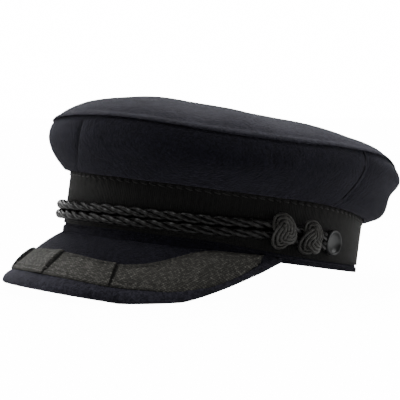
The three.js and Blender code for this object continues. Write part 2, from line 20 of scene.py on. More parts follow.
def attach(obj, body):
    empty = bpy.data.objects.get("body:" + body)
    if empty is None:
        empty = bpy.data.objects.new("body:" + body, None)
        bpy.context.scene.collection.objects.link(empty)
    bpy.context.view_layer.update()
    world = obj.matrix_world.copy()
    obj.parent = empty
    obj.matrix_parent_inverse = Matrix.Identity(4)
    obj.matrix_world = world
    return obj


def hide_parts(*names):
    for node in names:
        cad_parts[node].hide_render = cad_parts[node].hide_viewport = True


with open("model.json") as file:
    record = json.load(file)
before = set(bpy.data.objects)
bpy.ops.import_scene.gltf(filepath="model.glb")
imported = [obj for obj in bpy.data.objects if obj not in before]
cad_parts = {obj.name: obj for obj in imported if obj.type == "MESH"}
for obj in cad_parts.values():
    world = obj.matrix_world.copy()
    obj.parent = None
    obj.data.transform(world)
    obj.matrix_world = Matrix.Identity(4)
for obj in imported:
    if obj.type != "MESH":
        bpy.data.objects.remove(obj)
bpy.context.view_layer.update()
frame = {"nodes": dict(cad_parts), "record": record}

bl_info = {
    "name": "Captain Cap",
    "version": (1, 0, 0),
    "blender": (4, 5, 0),
    "location": "3D View > Sidebar > Cap",
    "description": "Dresses the solids of a wool captain cap in felt, ribbon, cord and stitching",
    "category": "Object",
}

MM = 0.001
SHARP_DEGREES = 42
SMOOTH_DEGREES = 50
NEWTON_STEPS = 8

# Band
HALF_LENGTH = 99.5
HALF_WIDTH = 85.0
HEM_HEIGHT = 7.2
RIBBON_FACE = 3.5
HEM_FACE = 3.7
GAP = 0.3
RIBBON_THICKNESS = 0.8
RIBBON_CLEARANCE = 0.6

# Peak and its ribbon
VISOR_TURN = 80.5
VISOR_REACH = 36.0
VISOR_END_WIDTH = 2.6
VISOR_DROP = 36.4
VISOR_SEAT = 3.2
VISOR_FIRST_SLOPE = 0.58
VISOR_CORNER = 2.2
VISOR_BORDER = 9.0
VISOR_RIBBON_WIDTH = 21.0
VISOR_RIBBON_LIFT = 0.6

# Cords and knots
CORD_DIAMETER = 5.6
CORD_END_TURN = 99.0
KNOT_TALL = 22.0
KNOT_WIDE = 18.0
KNOT_DEEP = 10.4
KNOTS = {
    "front": {"turn": 79.7, "height": 19.2, "lean": 0.0},
    "rear": {"turn": 91.2, "height": 17.1, "lean": -22.0},
}
STRAND_GAP = 0.1
STRAND_TWIST = 6.0
KNOT_FULLNESS = (0.6, 0.4)
STRAND_SHADE = (0.85 / 1.4, -1 / 1.4)
LOBE_REACH = 2.8
LOBE_SMOOTHINGS = 6
CROSSING_STEEPNESS = 1.7
DOME_POWER = 2.4

# Plies of a cord, how far round each of them shows in degrees, and the fine yarns and grooves on them, with
# the share of a ply's reach over which painted shade darkens the grooves
PLIES = 3
PLY_OPENING = 142
CORD_FULLNESS = 0.25
YARNS = 7
YARN_RIPPLE = 0.06
GROOVE_SHADE_SHARE = 0.4

# Side buttons
BUTTON_TURN = 104.2
BUTTON_HEIGHT = 16.7
BUTTON_DIAMETER = 16.0
BUTTON_THICKNESS = 4.0

# Turn, hem height and peak seat, the last two as shares of their sizes
SIDE_ROWS = np.array([
    [0, 0.86, 0.5],
    [40, 0.92, 0.42],
    [58, 0.95, 0.75],
    [78, 0.72, 1],
    [94, 0.6, 1],
    [114, 0.58, 1],
    [130, 0.58, 1],
    [142, 0.58, 1],
    [180, 0.58, 1],
])

# Reach forward and drop of the peak's edge, as shares
VISOR_DROP_ROWS = np.array([
    [0, 0],
    [0.07, 0.06],
    [0.155, 0.24],
    [0.28, 0.49],
    [0.51, 0.85],
    [0.71, 0.99],
    [0.85, 1],
    [1, 0.985],
])

# Turn, border outside the peak's ribbon and the ribbon's width, as shares
PEAK_RIBBON_ROWS = np.array([
    [0, 1, 1],
    [16, 0.95, 0.92],
    [30, 0.85, 0.83],
    [40, 0.88, 0.93],
    [48, 0.9, 1.22],
    [56, 0.85, 1.5],
    [80, 0.7, 1.6],
])

# Turn at the inner edge, skew in degrees at the outer edge and how open each tuck is
TUCKS = [(-50.0, -3.0, 0.45), (-20.0, -3.5, 1.0), (3.2, -0.2, 0.8), (27.4, 2.4, 0.6)]
TUCK_SHIFT = 2.5

# Turn and the heights of the upper and lower cord
CORD_ROUTE = np.array([
    [0, 18.3, 12.2],
    [20, 18.6, 12.5],
    [40, 19, 12.9],
    [58, 20.1, 14],
    [76, 21.9, 15.9],
    [90, 20.4, 14.4],
    [104, 19.2, 13.6],
])

# Soft form of the crown, in millimetres: how high or deep, and in pairs where it starts or lies and how wide
TOP_OVERHANG = 16.0
TOP_MIDDLE_SHARE = (1.02, -0.14)
TOP_FRONT = (10, 45)
TOP_FRONT_LIFT = 1.9
TOP_SLUMPS = [(1.8, -24, 18), (0.9, 32, 16)]
TOP_DROP = 0.7 * GAP
# Share of painted light that makes the whole top paler, as lit from above
TOP_PAINTED_LIGHT = 0.32
DIAGONAL = np.array([0.6, 0.8])
PANEL_MIDDLES = {
    "crown_panel_front_left": 48, "crown_panel_back_left": 141,
    "crown_panel_back_right": -141, "crown_panel_front_right": -55,
}
PANEL_FULLNESS = 0.9
REAR_TURNS = (150, 32)
REAR_SAG = 5.0
REAR_SAG_PLACE = (7, 12)
REAR_RIM_FULLNESS = 2.2
REAR_RIM_PLACE = (8, 5)
REAR_RIM_START = (74, 26)
REAR_RIM_RISE = [0, 0, 1.5]
REAR_RIM_SPREAD = 0.6
TOP_SEAM_DEPTH = 1.2
TOP_SEAM_PLACE = (0, 1.9)
SIDE_SEAM_DEPTH = 0.7
SIDE_SEAM_PLACE = (0, 1.5)
SEAM_SHADE = (2.8, -2.8)
SEAM_OVERLAP_DEGREES = 0.09
SEAM_LEVELS_READ = 25
MM_IN_DEGREE = 1.7

# Soft form of the peak and its ribbon, in millimetres
PEAK_SIDE_DROPS = [(1.6, 50, 14), (3.2, 75, 14)]
PEAK_FRONT_FULLNESS = 1.4
PEAK_ROLL = 1.3
PEAK_ROLL_PLACE = (3.2, 3.2)
# Painted light on the peak: its least share, and where across the peak it starts growing and over how much
PEAK_PAINTED_LIGHT = 0.09
PEAK_PAINTED_LIGHT_SHARE = (0.62, 0.22)
FLOOR_CLEARANCE = 0.2
PEAK_RIBBON_SPREAD = 3.4
PEAK_RIBBON_SPREAD_TURNS = (44, 18)
LEAST_REACH = 9
PEAK_RIBBON_SINK = 0.45
PEAK_RIBBON_SOFT_EDGE = 0.06
FLAP_LENGTH = 7
FLAP_LIFT = (0.3, 1.9)
GAPE = (0.8, 1.6)
# Turns over which painted shade grows on the wearer's right of the peak ribbon, then the place and width in
# millimetres of a line of painted shade out from its inner edge
SIDE_SHADE_TURNS = (8, -32)
NEEDLE_LINE = (1.9, math.sqrt(0.3))
THREAD_TURNS = (-18, 54)
THREAD_INSETS = (1.7, 4.4)
THREAD_SEAT = 0.2

# Painted highlight along the hem's top edge, in millimetres to each side, the share of painted light on the
# rest of the rear hem, and its ribbon's puckers
HEM_EDGE = 0.95
HEM_PAINTED_LIGHT = 0.35
PUCKER_WAVE = 6.3
PUCKER_SWAY = 17
PUCKER_SWELL = 11
PUCKER_TOP = (-1.6, 2.2)
PUCKER_LOW = (1.2, 1.6)

# Threads of the band: length, width, pitch and tilt in degrees
UPPER_STITCHES = (4.4, 0.9, 5.6, -12)
UPPER_PUCKERS = (4.8, 1.0, 5.6, -14)
LOWER_STITCHES = (2.6, 0.5, 4.0, 0)

# Inset and rise of each ring on a button's face
BUTTON_RINGS = [(0.6, 0.15), (0.7, 0.05), (0.4, -0.85), (1.1, -0.85), (1.9, -0.5), (1.9, -0.15)]

# Black of the painted shade in the depth of a fold and of a cord's grooves
FOLD_SHADE_BLACK = (0.001, 0.001, 0.001)
GROOVE_SHADE_BLACK = (0.0005, 0.0005, 0.0005)

# Camera: height of what it looks at, how far the picture's middle lies from it, and the picture's width
AIM_HEIGHT = 60.0
AIM_ASIDE = -2.071
AIM_UP = -7.118
SENSOR = 36
PICTURE = 400


def ramp(at, start, width):
    """0 before the start and 1 past the width after it. A negative width goes the other way."""
    return np.clip((at - start) / width, 0, 1)


def ease(share):
    return share * share * (3 - 2 * share)


def hill(at, centre, width, power=2):
    """1 at the centre, and softly down to 0 on both sides of it."""
    return np.exp(-(((at - centre) / width) ** power))


def unit(vectors):
    return vectors / np.linalg.norm(vectors, axis=-1, keepdims=True)


def run_lengths(points):
    """Length along a row of points, up to each of them."""
    steps = np.linalg.norm(np.diff(points, axis=0), axis=1)
    return np.concatenate([[0], np.cumsum(steps)])


def nearest_of(targets, points):
    """For each point, the place in the row of targets of the nearest one."""
    tree = KDTree(len(targets))
    for i, target in enumerate(targets):
        tree.insert(target, i)
    tree.balance()
    return np.array([tree.find(point)[1] for point in points])


def between(rows, column, at):
    """A smooth value between the rows of a table, with the same slopes as the solids have."""
    key = rows[:, 0]
    value = rows[:, column]
    at = np.asarray(at, float)
    last = len(key) - 1
    i = np.clip(np.searchsorted(key, at, side="left") - 1, 0, last - 1)
    span = key[i + 1] - key[i]
    share = np.clip((at - key[i]) / span, 0, 1)
    low = np.maximum(np.arange(last + 1) - 1, 0)
    high = np.minimum(np.arange(last + 1) + 1, last)
    slope = (value[high] - value[low]) / (key[high] - key[low])
    s2 = share * share
    s3 = s2 * share
    rise = value[i] * (2 * s3 - 3 * s2 + 1) + value[i + 1] * (3 * s2 - 2 * s3)
    return rise + span * (slope[i] * (s3 - 2 * s2 + share) + slope[i + 1] * (s3 - s2))


def mesh_points(piece):
    """Vertices of a piece as an array, in metres."""
    points = np.empty(len(piece.data.vertices) * 3)
    piece.data.vertices.foreach_get("co", points)
    return points.reshape(-1, 3)


def put_points(piece, points):
    piece.data.vertices.foreach_set("co", np.ascontiguousarray(points, dtype=np.float32).ravel())
    piece.data.update()


def cap_place():
    """A matrix that takes world axes to the leaning cap's, and where the cap's origin then lies."""
    axis = frame["record"]["mounts"][0]["axis"]
    lean = math.atan2(-axis[1], -axis[2])
    upright = np.array(Matrix.Rotation(lean, 3, "X"))
    band = mesh_points(frame["nodes"]["band"]) @ upright.T / MM
    low, high = band.min(axis=0), band.max(axis=0)
    return upright, np.array([(low[0] + high[0]) / 2, (low[1] + high[1]) / 2, low[2]])


UPRIGHT, ORIGIN = cap_place()


def to_cap(points):
    return points @ UPRIGHT.T / MM - ORIGIN


def to_world(points):
    return (points + ORIGIN) @ UPRIGHT * MM


def directions_to_world(directions):
    return directions @ UPRIGHT


def band_normal(turn):
    angle = np.radians(turn)
    return unit(np.stack([HALF_LENGTH * np.sin(angle), -HALF_WIDTH * np.cos(angle)], axis=-1))


def band_point(turn, out, up):
    """Points round the band, out from its inner face and up from its lower edge."""
    turn, out, up = np.broadcast_arrays(np.asarray(turn, float), out, up)
    angle = np.radians(turn)
    normal = band_normal(turn)
    x = HALF_WIDTH * np.sin(angle) + out * normal[..., 0]
    y = -HALF_LENGTH * np.cos(angle) + out * normal[..., 1]
    return np.stack([x, y, up], axis=-1)


def band_place(points):
    """Turn, out and up of points in the cap's frame."""
    x, y = points[:, 0], points[:, 1]
    angle = np.arctan2(x / HALF_WIDTH, -y / HALF_LENGTH)
    for _ in range(NEWTON_STEPS):
        sine, cosine = np.sin(angle), np.cos(angle)
        gap_x = x - HALF_WIDTH * sine
        gap_y = y + HALF_LENGTH * cosine
        error = -gap_x * HALF_WIDTH * cosine - gap_y * HALF_LENGTH * sine
        slope = (HALF_WIDTH * cosine) ** 2 + gap_x * HALF_WIDTH * sine
        slope += (HALF_LENGTH * sine) ** 2 - gap_y * HALF_LENGTH * cosine
        angle = angle - error / np.maximum(slope, 1)
    turn = np.degrees(angle)
    face = band_point(turn, 0, 0)[:, :2]
    out = np.einsum("ij,ij->i", points[:, :2] - face, band_normal(turn))
    return (turn + 180) % 360 - 180, out, points[:, 2]


def arc_table(turns, points):
    """Millimetres along a row of points, 0 at turn 0."""
    length = run_lengths(points)
    return length - np.interp(0, turns, length)


ROUND_TURNS = np.linspace(-180, 180, 721)
ROUND_LENGTHS = arc_table(ROUND_TURNS, band_point(ROUND_TURNS, RIBBON_FACE, 0))
ROUND_TOTAL = ROUND_LENGTHS[-1] - ROUND_LENGTHS[0]


def round_length(turn):
    return np.interp(turn, ROUND_TURNS, ROUND_LENGTHS)


def hem_height(turn):
    return HEM_HEIGHT * between(SIDE_ROWS, 1, np.abs(turn))


def crown_edges():
    """Lowest and highest level of the crown's side panels against the turn, read from their solids."""
    nodes = [node for name, node in frame["nodes"].items() if name.startswith("crown_panel")]
    points = np.concatenate([to_cap(mesh_points(node)) for node in nodes])
    turn, out, up = band_place(points)
    near = out < RIBBON_FACE + 6
    centres = np.arange(-180, 181, 6.0)
    lows, highs = [], []
    for centre in centres:
        beside = np.abs((turn - centre + 180) % 360 - 180) < 5
        lows.append(up[near & beside].min())
        highs.append(up[beside].max())
    return centres, np.array(lows), np.array(highs)


EDGE_TURNS, EDGE_LEVELS, SEAM_LEVELS = crown_edges()


def edge_level(turn):
    return np.interp(turn, EDGE_TURNS, EDGE_LEVELS)


# Peak surface


def seat_height(turn):
    return VISOR_SEAT * between(SIDE_ROWS, 2, np.abs(turn))


def visor_inner_edge(turn):
    return band_point(turn, HEM_FACE + GAP, seat_height(turn))


def visor_outer_edge(turn):
    end = visor_inner_edge(np.array([VISOR_TURN]))[0]
    front = visor_inner_edge(np.array([0.0]))[0]
    angle = math.pi / 2 * np.asarray(turn, float) / VISOR_TURN
    power = 2 / VISOR_CORNER
    reach = np.abs(np.cos(angle)) ** power
    side = np.sign(angle) * np.abs(np.sin(angle)) ** power
    x = (end[0] + VISOR_END_WIDTH) * side
    y = end[1] - (end[1] - front[1] + VISOR_REACH) * reach
    z = end[2] - VISOR_DROP * between(VISOR_DROP_ROWS, 1, reach)
    return np.stack([x, y, z], axis=-1)


def visor_point(turn, across):
    """Points of the peak's upper face: across is 0 at the band and 1 at the outer edge."""
    turn, across = np.broadcast_arrays(np.asarray(turn, float), across)
    inner = visor_inner_edge(turn)
    outer = visor_outer_edge(turn)
    fall = VISOR_FIRST_SLOPE * across + (1 - VISOR_FIRST_SLOPE) * across**2
    point = inner + (outer - inner) * across[..., None]
    point[..., 2] = inner[..., 2] + (outer[..., 2] - inner[..., 2]) * fall
    return point


def visor_normal(turn, across):
    low = np.maximum(across - 0.02, 0)
    high = np.minimum(across + 0.02, 1)
    outward = visor_point(turn, high) - visor_point(turn, low)
    middle = np.clip(turn, -VISOR_TURN + 1, VISOR_TURN - 1)
    along = visor_point(middle + 1, across) - visor_point(middle - 1, across)
    return unit(np.cross(outward, along))


def visor_reach(turn):
    """Distance from the peak's inner edge to its outer edge."""
    return np.linalg.norm(visor_outer_edge(turn) - visor_inner_edge(turn), axis=-1)


def peak_shift(turn, across):
    """How the peak's soft edge lies beside its solid: a little lower at the sides and fuller in front."""
    beside = np.abs(turn)
    end = np.sin(np.pi / 2 * ramp(beside, VISOR_TURN, -6))
    side_drop, end_drop = [depth * hill(beside, centre, width) for depth, centre, width in PEAK_SIDE_DROPS]
    outward = visor_outer_edge(turn) - visor_inner_edge(turn)
    outward[..., 2] = 0
    fuller = PEAK_FRONT_FULLNESS * across**4 * hill(turn, 0, 42, 4)
    shift = unit(outward) * fuller[..., None]
    shift[..., 2] -= (side_drop + end * end_drop) * across**2
    return shift


def peak_places(points):
    """Turn, across, height, normal and millimetres in a degree, for points near the peak's upper face."""
    grid = np.meshgrid(np.linspace(-VISOR_TURN, VISOR_TURN, 323), np.linspace(0, 1, 101), indexing="ij")
    turns, shares = [values.ravel() for values in grid]
    surface = visor_point(turns, shares)
    nearest = nearest_of(surface, points)
    turn, across = turns[nearest], shares[nearest]
    normal = visor_normal(turn, across)
    height = np.einsum("ij,ij->i", points - surface[nearest], normal)
    aside = points - surface[nearest] - height[:, None] * normal
    after = visor_point(np.clip(turn + 0.25, -VISOR_TURN, VISOR_TURN), across)
    before = visor_point(np.clip(turn - 0.25, -VISOR_TURN, VISOR_TURN), across)
    step = after - before
    length = np.maximum(np.linalg.norm(step, axis=1), 0.05)
    per_degree = 2 * length
    turn = turn + np.einsum("ij,ij->i", aside, step) / length / per_degree
    return turn, across, height, normal, per_degree


def across_from_edge(turn, distance):
    """Across position that lies a given distance in from the peak's edge."""
    shares = np.linspace(0, 1, 49)
    places = np.empty(len(turn))
    for i, (at, away) in enumerate(zip(turn, distance)):
        inward = visor_point(np.full(len(shares), at), shares)[::-1]
        places[i] = np.interp(away, run_lengths(inward), shares[::-1])
    return places


PEAK_TURNS = np.linspace(-VISOR_TURN, VISOR_TURN, 162)
PEAK_BORDER = VISOR_BORDER * between(PEAK_RIBBON_ROWS, 1, np.abs(PEAK_TURNS))
PEAK_WIDTH = VISOR_RIBBON_WIDTH * between(PEAK_RIBBON_ROWS, 2, np.abs(PEAK_TURNS))
PEAK_OUTER = across_from_edge(PEAK_TURNS, PEAK_BORDER)
PEAK_INNER = np.maximum(across_from_edge(PEAK_TURNS, PEAK_BORDER + PEAK_WIDTH), 0.02)
PEAK_LENGTHS = arc_table(PEAK_TURNS, visor_point(PEAK_TURNS, (PEAK_OUTER + PEAK_INNER) / 2))


# Selecting and shaping


def activate(piece):
    if bpy.context.mode != "OBJECT":
        bpy.ops.object.mode_set(mode="OBJECT")
    bpy.ops.object.select_all(action="DESELECT")
    piece.select_set(True)
    bpy.context.view_layer.objects.active = piece


def edit_all(piece):
    activate(piece)
    bpy.ops.object.mode_set(mode="EDIT")
    bpy.ops.mesh.select_all(action="SELECT")


def copy_of(node, name):
    """A copy of a solid with its corners joined and its triangles paired."""
    piece = bpy.data.objects.new(name, frame["nodes"][node].data.copy())
    piece.data.materials.clear()
    bpy.context.scene.collection.objects.link(piece)
    edit_all(piece)
    bpy.ops.mesh.remove_doubles(threshold=0.00002)
    bpy.ops.mesh.tris_convert_to_quads(face_threshold=math.radians(60), shape_threshold=math.radians(60))
    bpy.ops.object.mode_set(mode="OBJECT")
    if piece.data.has_custom_normals:
        bpy.ops.mesh.customdata_custom_splitnormals_clear()
    return piece


def apply_modifier(piece, kind, **settings):
    activate(piece)
    modifier = piece.modifiers.new(kind.title(), kind)
    for name, value in settings.items():
        setattr(modifier, name, value)
    bpy.ops.object.modifier_apply(modifier=modifier.name)


def bevel_sharp(piece, width, segments, degrees):
    limit = math.radians(degrees)
    apply_modifier(piece, "BEVEL", width=width, segments=segments, limit_method="ANGLE", angle_limit=limit)


def subdivide_cloth(piece, levels, rounding):
    """Subdivides a cut piece of cloth, keeps its edges where they are and rounds them a little."""
    activate(piece)
    bpy.ops.object.mode_set(mode="EDIT")
    bpy.ops.mesh.select_mode(type="EDGE")
    bpy.ops.mesh.select_all(action="DESELECT")
    bpy.ops.mesh.edges_select_sharp(sharpness=math.radians(SHARP_DEGREES))
    bpy.ops.transform.edge_crease(value=1)
    bpy.ops.object.mode_set(mode="OBJECT")
    apply_modifier(piece, "SUBSURF", levels=levels, render_levels=levels)
    bevel_sharp(piece, rounding * MM, 2, SHARP_DEGREES)
    bpy.ops.object.shade_smooth()


def wrinkle(piece, size, height, name):
    """Moves the cloth along its normals by a soft cloud pattern."""
    texture = bpy.data.textures.new(name, "CLOUDS")
    texture.noise_scale = size
    texture.noise_depth = 2
    apply_modifier(piece, "DISPLACE", texture=texture, strength=height, mid_level=0.5, texture_coords="LOCAL")


def set_uv(piece, u, v, total=None):
    """A UV map from two values of each vertex. Faces that cross the place where u starts again stay whole."""
    mesh = piece.data
    corners = np.empty(len(mesh.loops), dtype=np.int32)
    mesh.loops.foreach_get("vertex_index", corners)
    starts = np.empty(len(mesh.polygons), dtype=np.int32)
    mesh.polygons.foreach_get("loop_start", starts)
    uv = np.stack([u[corners], v[corners]], axis=1)
    if total:
        counts = np.diff(np.append(starts, len(corners)))
        high = np.repeat(np.maximum.reduceat(uv[:, 0], starts), counts)
        uv[high - uv[:, 0] > total / 2, 0] += total
    layer = mesh.uv_layers.new(name="cloth")
    layer.data.foreach_set("uv", np.ascontiguousarray(uv, dtype=np.float32).ravel())


def set_attribute(piece, name, values):
    found = piece.data.attributes.get(name) or piece.data.attributes.new(name, "FLOAT", "POINT")
    found.data.foreach_set("value", np.ascontiguousarray(values, dtype=np.float32))


def finish_piece(piece, material, slot, *nodes):
    piece.data.materials.clear()
    piece.data.materials.append(material)
    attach(piece, "root")
    if nodes:
        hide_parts(*nodes)


def path_curve(name, points, closed):
    """A curve of one spline through points in metres, for a rope to follow."""
    curve = bpy.data.curves.new(name, "CURVE")
    curve.dimensions = "3D"
    spline = curve.splines.new("POLY")
    spline.points.add(len(points) - 1)
    spline.points.foreach_set("co", np.c_[points, np.ones(len(points))].astype(np.float32).ravel())
    spline.use_cyclic_u = closed
    holder = bpy.data.objects.new(name, curve)
    bpy.context.scene.collection.objects.link(holder)
    return holder


def twisted_rope(name, outline, points, closed, pitch, steps):
    """A rope: an outline in metres, wound up with the screw modifier and bent along points in metres."""
    length = run_lengths(np.vstack([points, points[:1]]) if closed else points)[-1]
    rounds = max(1, round(length / pitch))
    bpy.ops.object.select_all(action="DESELECT")
    bpy.ops.mesh.primitive_circle_add(vertices=len(outline), radius=1)
    rope = bpy.context.object
    rope.name = name
    put_points(rope, np.c_[outline, np.zeros(len(outline))])
    apply_modifier(
        rope, "SCREW", axis="Z", angle=2 * math.pi, screw_offset=length / rounds, iterations=rounds,
        steps=steps, render_steps=steps, use_smooth_shade=True,
    )
    edit_all(rope)
    bpy.ops.mesh.remove_doubles(threshold=0.000001)
    bpy.ops.mesh.fill_holes(sides=0)
    bpy.ops.mesh.select_all(action="SELECT")
    bpy.ops.mesh.normals_make_consistent(inside=False)
    bpy.ops.object.mode_set(mode="OBJECT")
    reach = np.linalg.norm(mesh_points(rope)[:, :2], axis=1)
    widest = np.linalg.norm(outline, axis=1).max()
    # Painted shade in the grooves: darker the nearer a point lies to the rope's middle
    set_attribute(rope, "groove_shade", ramp(reach / widest, 1, -GROOVE_SHADE_SHARE))
    holder = path_curve(name + "_path", points, closed)
    apply_modifier(rope, "CURVE", object=holder, deform_axis="POS_Z")
    bpy.data.curves.remove(holder.data)
    rope.data.name = name
    return rope


def ply_outline(plies, radius, ripple, ripples, count):
    """Outline of a rope's section: round plies side by side, each with fine grooves between its yarns."""
    spread = radius / (1 + 1 / math.sin(math.pi / plies))
    centre = radius - spread
    reach = math.radians(PLY_OPENING)
    points = []
    for k in range(plies):
        away = 2 * math.pi * k / plies
        for i in range(count):
            bend = reach * (2 * (i + 0.5) / count - 1)
            size = spread * (1 + ripple * math.cos(ripples * bend))
            x = centre * math.cos(away) + size * math.cos(away + bend)
            y = centre * math.sin(away) + size * math.sin(away + bend)
            points.append((x, y))
    return np.array(points) * MM


def stitches(name, centres, along, outward, length, width):
    """A row of stitches: one small bead, copied to each centre and turned along the seam."""
    bpy.ops.object.select_all(action="DESELECT")
    bpy.ops.mesh.primitive_ico_sphere_add(subdivisions=2, radius=0.5)
    row = bpy.context.object
    row.name = name
    bead = mesh_points(row) * [length, width, width]
    along = unit(along)
    side = unit(np.cross(outward, along))
    axes = np.stack([along, side, np.cross(along, side)], axis=1)
    points = centres[:, None, :] + np.einsum("vk,nkj->nvj", bead, axes)
    faces = np.array([polygon.vertices[:] for polygon in row.data.polygons])
    shifts = (np.arange(len(centres)) * len(bead))[:, None, None]
    row.data.clear_geometry()
    row.data.from_pydata(to_world(points.reshape(-1, 3)), [], (faces[None] + shifts).reshape(-1, 3).tolist())
    activate(row)
    bpy.ops.object.shade_smooth()
    return row


def along_path(points, pitch):
    """Places a pitch apart along a row of points, as fractional positions in the row."""
    length = run_lengths(points)
    count = int(length[-1] / pitch)
    return np.interp((np.arange(count) + 0.5) * length[-1] / count, length, np.arange(len(points)))


def spread_stitches(name, points, normals, length, width, pitch, tilt=0):
    """Stitches a pitch apart along a row of points on a surface with the given normals, tilted by degrees."""
    at = along_path(points, pitch)
    index = np.arange(len(points))

    def pick(values, where):
        return np.stack([np.interp(where, index, values[:, k]) for k in range(3)], axis=1)

    centres = pick(points, at)
    along = unit(pick(points, np.minimum(at + 0.05, index[-1])) - pick(points, np.maximum(at - 0.05, 0)))
    outward = pick(normals, at)
    along += np.tan(np.radians(tilt)) * np.sign(centres[:, :1]) * np.cross(outward, along)
    return stitches(name, centres, along, outward, length, width)


# Materials


def add_node(tree, kind, inputs=None, **settings):
    """A shader node with its settings, and with its inputs set or linked."""
    made = tree.nodes.new(kind)
    for name, value in settings.items():
        setattr(made, name, value)
    for name, value in (inputs or {}).items():
        if isinstance(value, bpy.types.NodeSocket):
            tree.links.new(value, made.inputs[name])
        else:
            made.inputs[name].default_value = value
    return made


def math_node(tree, operation, *values):
    return add_node(tree, "ShaderNodeMath", dict(enumerate(values)), operation=operation).outputs[0]


def noise(tree, place, scale, detail, roughness=0.5, distortion=0.0):
    inputs = {"Vector": place, "Scale": scale, "Detail": detail, "Roughness": roughness}
    return add_node(tree, "ShaderNodeTexNoise", {**inputs, "Distortion": distortion}).outputs["Fac"]


def stretch(tree, value, low, high, to_low=0.0, to_high=1.0):
    """A value moved from one range to another, and kept within it."""
    inputs = {"Value": value, "From Min": low, "From Max": high, "To Min": to_low, "To Max": to_high}
    return add_node(tree, "ShaderNodeMapRange", inputs).outputs[0]


def ridges(tree, value):
    """Round ridges, one to each whole step of a value."""
    return math_node(tree, "ABSOLUTE", math_node(tree, "SINE", math_node(tree, "MULTIPLY", value, math.pi)))


def attribute(tree, name):
    return add_node(tree, "ShaderNodeAttribute", attribute_name=name).outputs["Fac"]


def mix(tree, share, *colours):
    """A colour between two, each of them a socket or three values."""
    low, high = [colour if isinstance(colour, bpy.types.NodeSocket) else (*colour, 1) for colour in colours]
    return add_node(tree, "ShaderNodeMix", {"Factor": share, 6: low, 7: high}, data_type="RGBA").outputs[2]


def cloth_group(name, sizes, fill):
    """A node group, made once, that gives a cloth's shade and height from a place and two sizes."""
    if name in bpy.data.node_groups:
        return bpy.data.node_groups[name]
    group = bpy.data.node_groups.new(name, "ShaderNodeTree")
    group.interface.new_socket("Vector", in_out="INPUT", socket_type="NodeSocketVector")
    for size in sizes:
        group.interface.new_socket(size, in_out="INPUT", socket_type="NodeSocketFloat")
    for output in ("Shade", "Height"):
        group.interface.new_socket(output, in_out="OUTPUT", socket_type="NodeSocketFloat")
    start = group.nodes.new("NodeGroupInput").outputs
    end = group.nodes.new("NodeGroupOutput").inputs
    shade, height = fill(group, start["Vector"], *[start[size] for size in sizes])
    group.links.new(shade, end["Shade"])
    group.links.new(height, end["Height"])
    return group


def felt_nodes(group, place, fibre_scale, blotch_scale):
    """Short matted fibres: a speckle, tufts and soft blotches."""
    calc = partial(math_node, group)
    fibre = noise(group, place, fibre_scale, 4.0, 0.65, 1.2)
    tuft = noise(group, place, calc("MULTIPLY", fibre_scale, 0.34), 3.0, distortion=0.8)
    blotch = noise(group, place, blotch_scale, 3.0, 0.6)
    speckle = calc("MULTIPLY", stretch(group, fibre, 0.42, 0.66), 0.3)
    clumps = calc("MULTIPLY_ADD", stretch(group, tuft, 0.42, 0.6), 0.42, speckle)
    shade = calc("MULTIPLY_ADD", stretch(group, blotch, 0.3, 0.7), 0.28, clumps)
    return shade, calc("ADD", fibre, tuft)


def rib_nodes(group, place, rib_pitch, thread_pitch):
    """Ribs across a ribbon's length, each of its own tone, and fine threads between."""
    calc = partial(math_node, group)
    split = add_node(group, "ShaderNodeSeparateXYZ", {"Vector": place}).outputs
    wobble = calc("MULTIPLY", calc("SUBTRACT", noise(group, place, 320.0, 2.0), 0.5), 0.8)
    across = calc("ADD", calc("DIVIDE", split["X"], rib_pitch), wobble)
    rib = ridges(group, across)
    thread = ridges(group, calc("DIVIDE", split["Y"], thread_pitch))
    cell = add_node(group, "ShaderNodeTexWhiteNoise", {"W": calc("FLOOR", across)}, noise_dimensions="1D")
    tone = calc("MULTIPLY_ADD", cell.outputs["Value"], 0.6, 0.4)
    return calc("MULTIPLY", rib, tone), calc("MULTIPLY_ADD", thread, 0.25, calc("POWER", rib, 0.6))


def pebble_nodes(group, place, dash_length, row_pitch):
    """Short raised dashes in rows that step sideways, each of its own tone."""
    calc = partial(math_node, group)
    split = add_node(group, "ShaderNodeSeparateXYZ", {"Vector": place}).outputs
    wobble = noise(group, place, 260.0, 3.0)
    row = calc("MULTIPLY_ADD", wobble, 0.9, calc("DIVIDE", split["Y"], row_pitch))
    index = calc("FLOOR", row)
    column = calc("MULTIPLY_ADD", index, 0.37, calc("DIVIDE", split["X"], dash_length))
    column = calc("MULTIPLY_ADD", wobble, 0.6, column)
    key = add_node(group, "ShaderNodeCombineXYZ", {"X": calc("FLOOR", column), "Y": index}).outputs[0]
    cell = add_node(group, "ShaderNodeTexWhiteNoise", {"Vector": key}, noise_dimensions="2D").outputs["Value"]
    dash = calc("MULTIPLY", calc("POWER", ridges(group, column), 0.5), calc("POWER", ridges(group, row), 0.7))
    tone = calc("MULTIPLY_ADD", calc("POWER", cell, 2.0), 0.65, 0.35)
    return calc("MULTIPLY", dash, tone), dash


def start_material(name, roughness, specular, sheen=0.0, sheen_roughness=0.3, sheen_tint=(1, 1, 1)):
    material = bpy.data.materials.new(name)
    material.use_nodes = True
    shader = material.node_tree.nodes["Principled BSDF"]
    shader.inputs["Roughness"].default_value = roughness
    shader.inputs["Specular IOR Level"].default_value = specular
    shader.inputs["Sheen Weight"].default_value = sheen
    shader.inputs["Sheen Roughness"].default_value = sheen_roughness
    shader.inputs["Sheen Tint"].default_value = (*sheen_tint, 1)
    return material, material.node_tree, shader


def dress_shader(tree, shader, colour, height, strength, distance):
    """Gives a shader its colour, and a height as a bump."""
    tree.links.new(colour, shader.inputs["Base Color"])
    bump = add_node(tree, "ShaderNodeBump", {"Height": height, "Strength": strength, "Distance": distance})
    tree.links.new(bump.outputs[0], shader.inputs["Normal"])


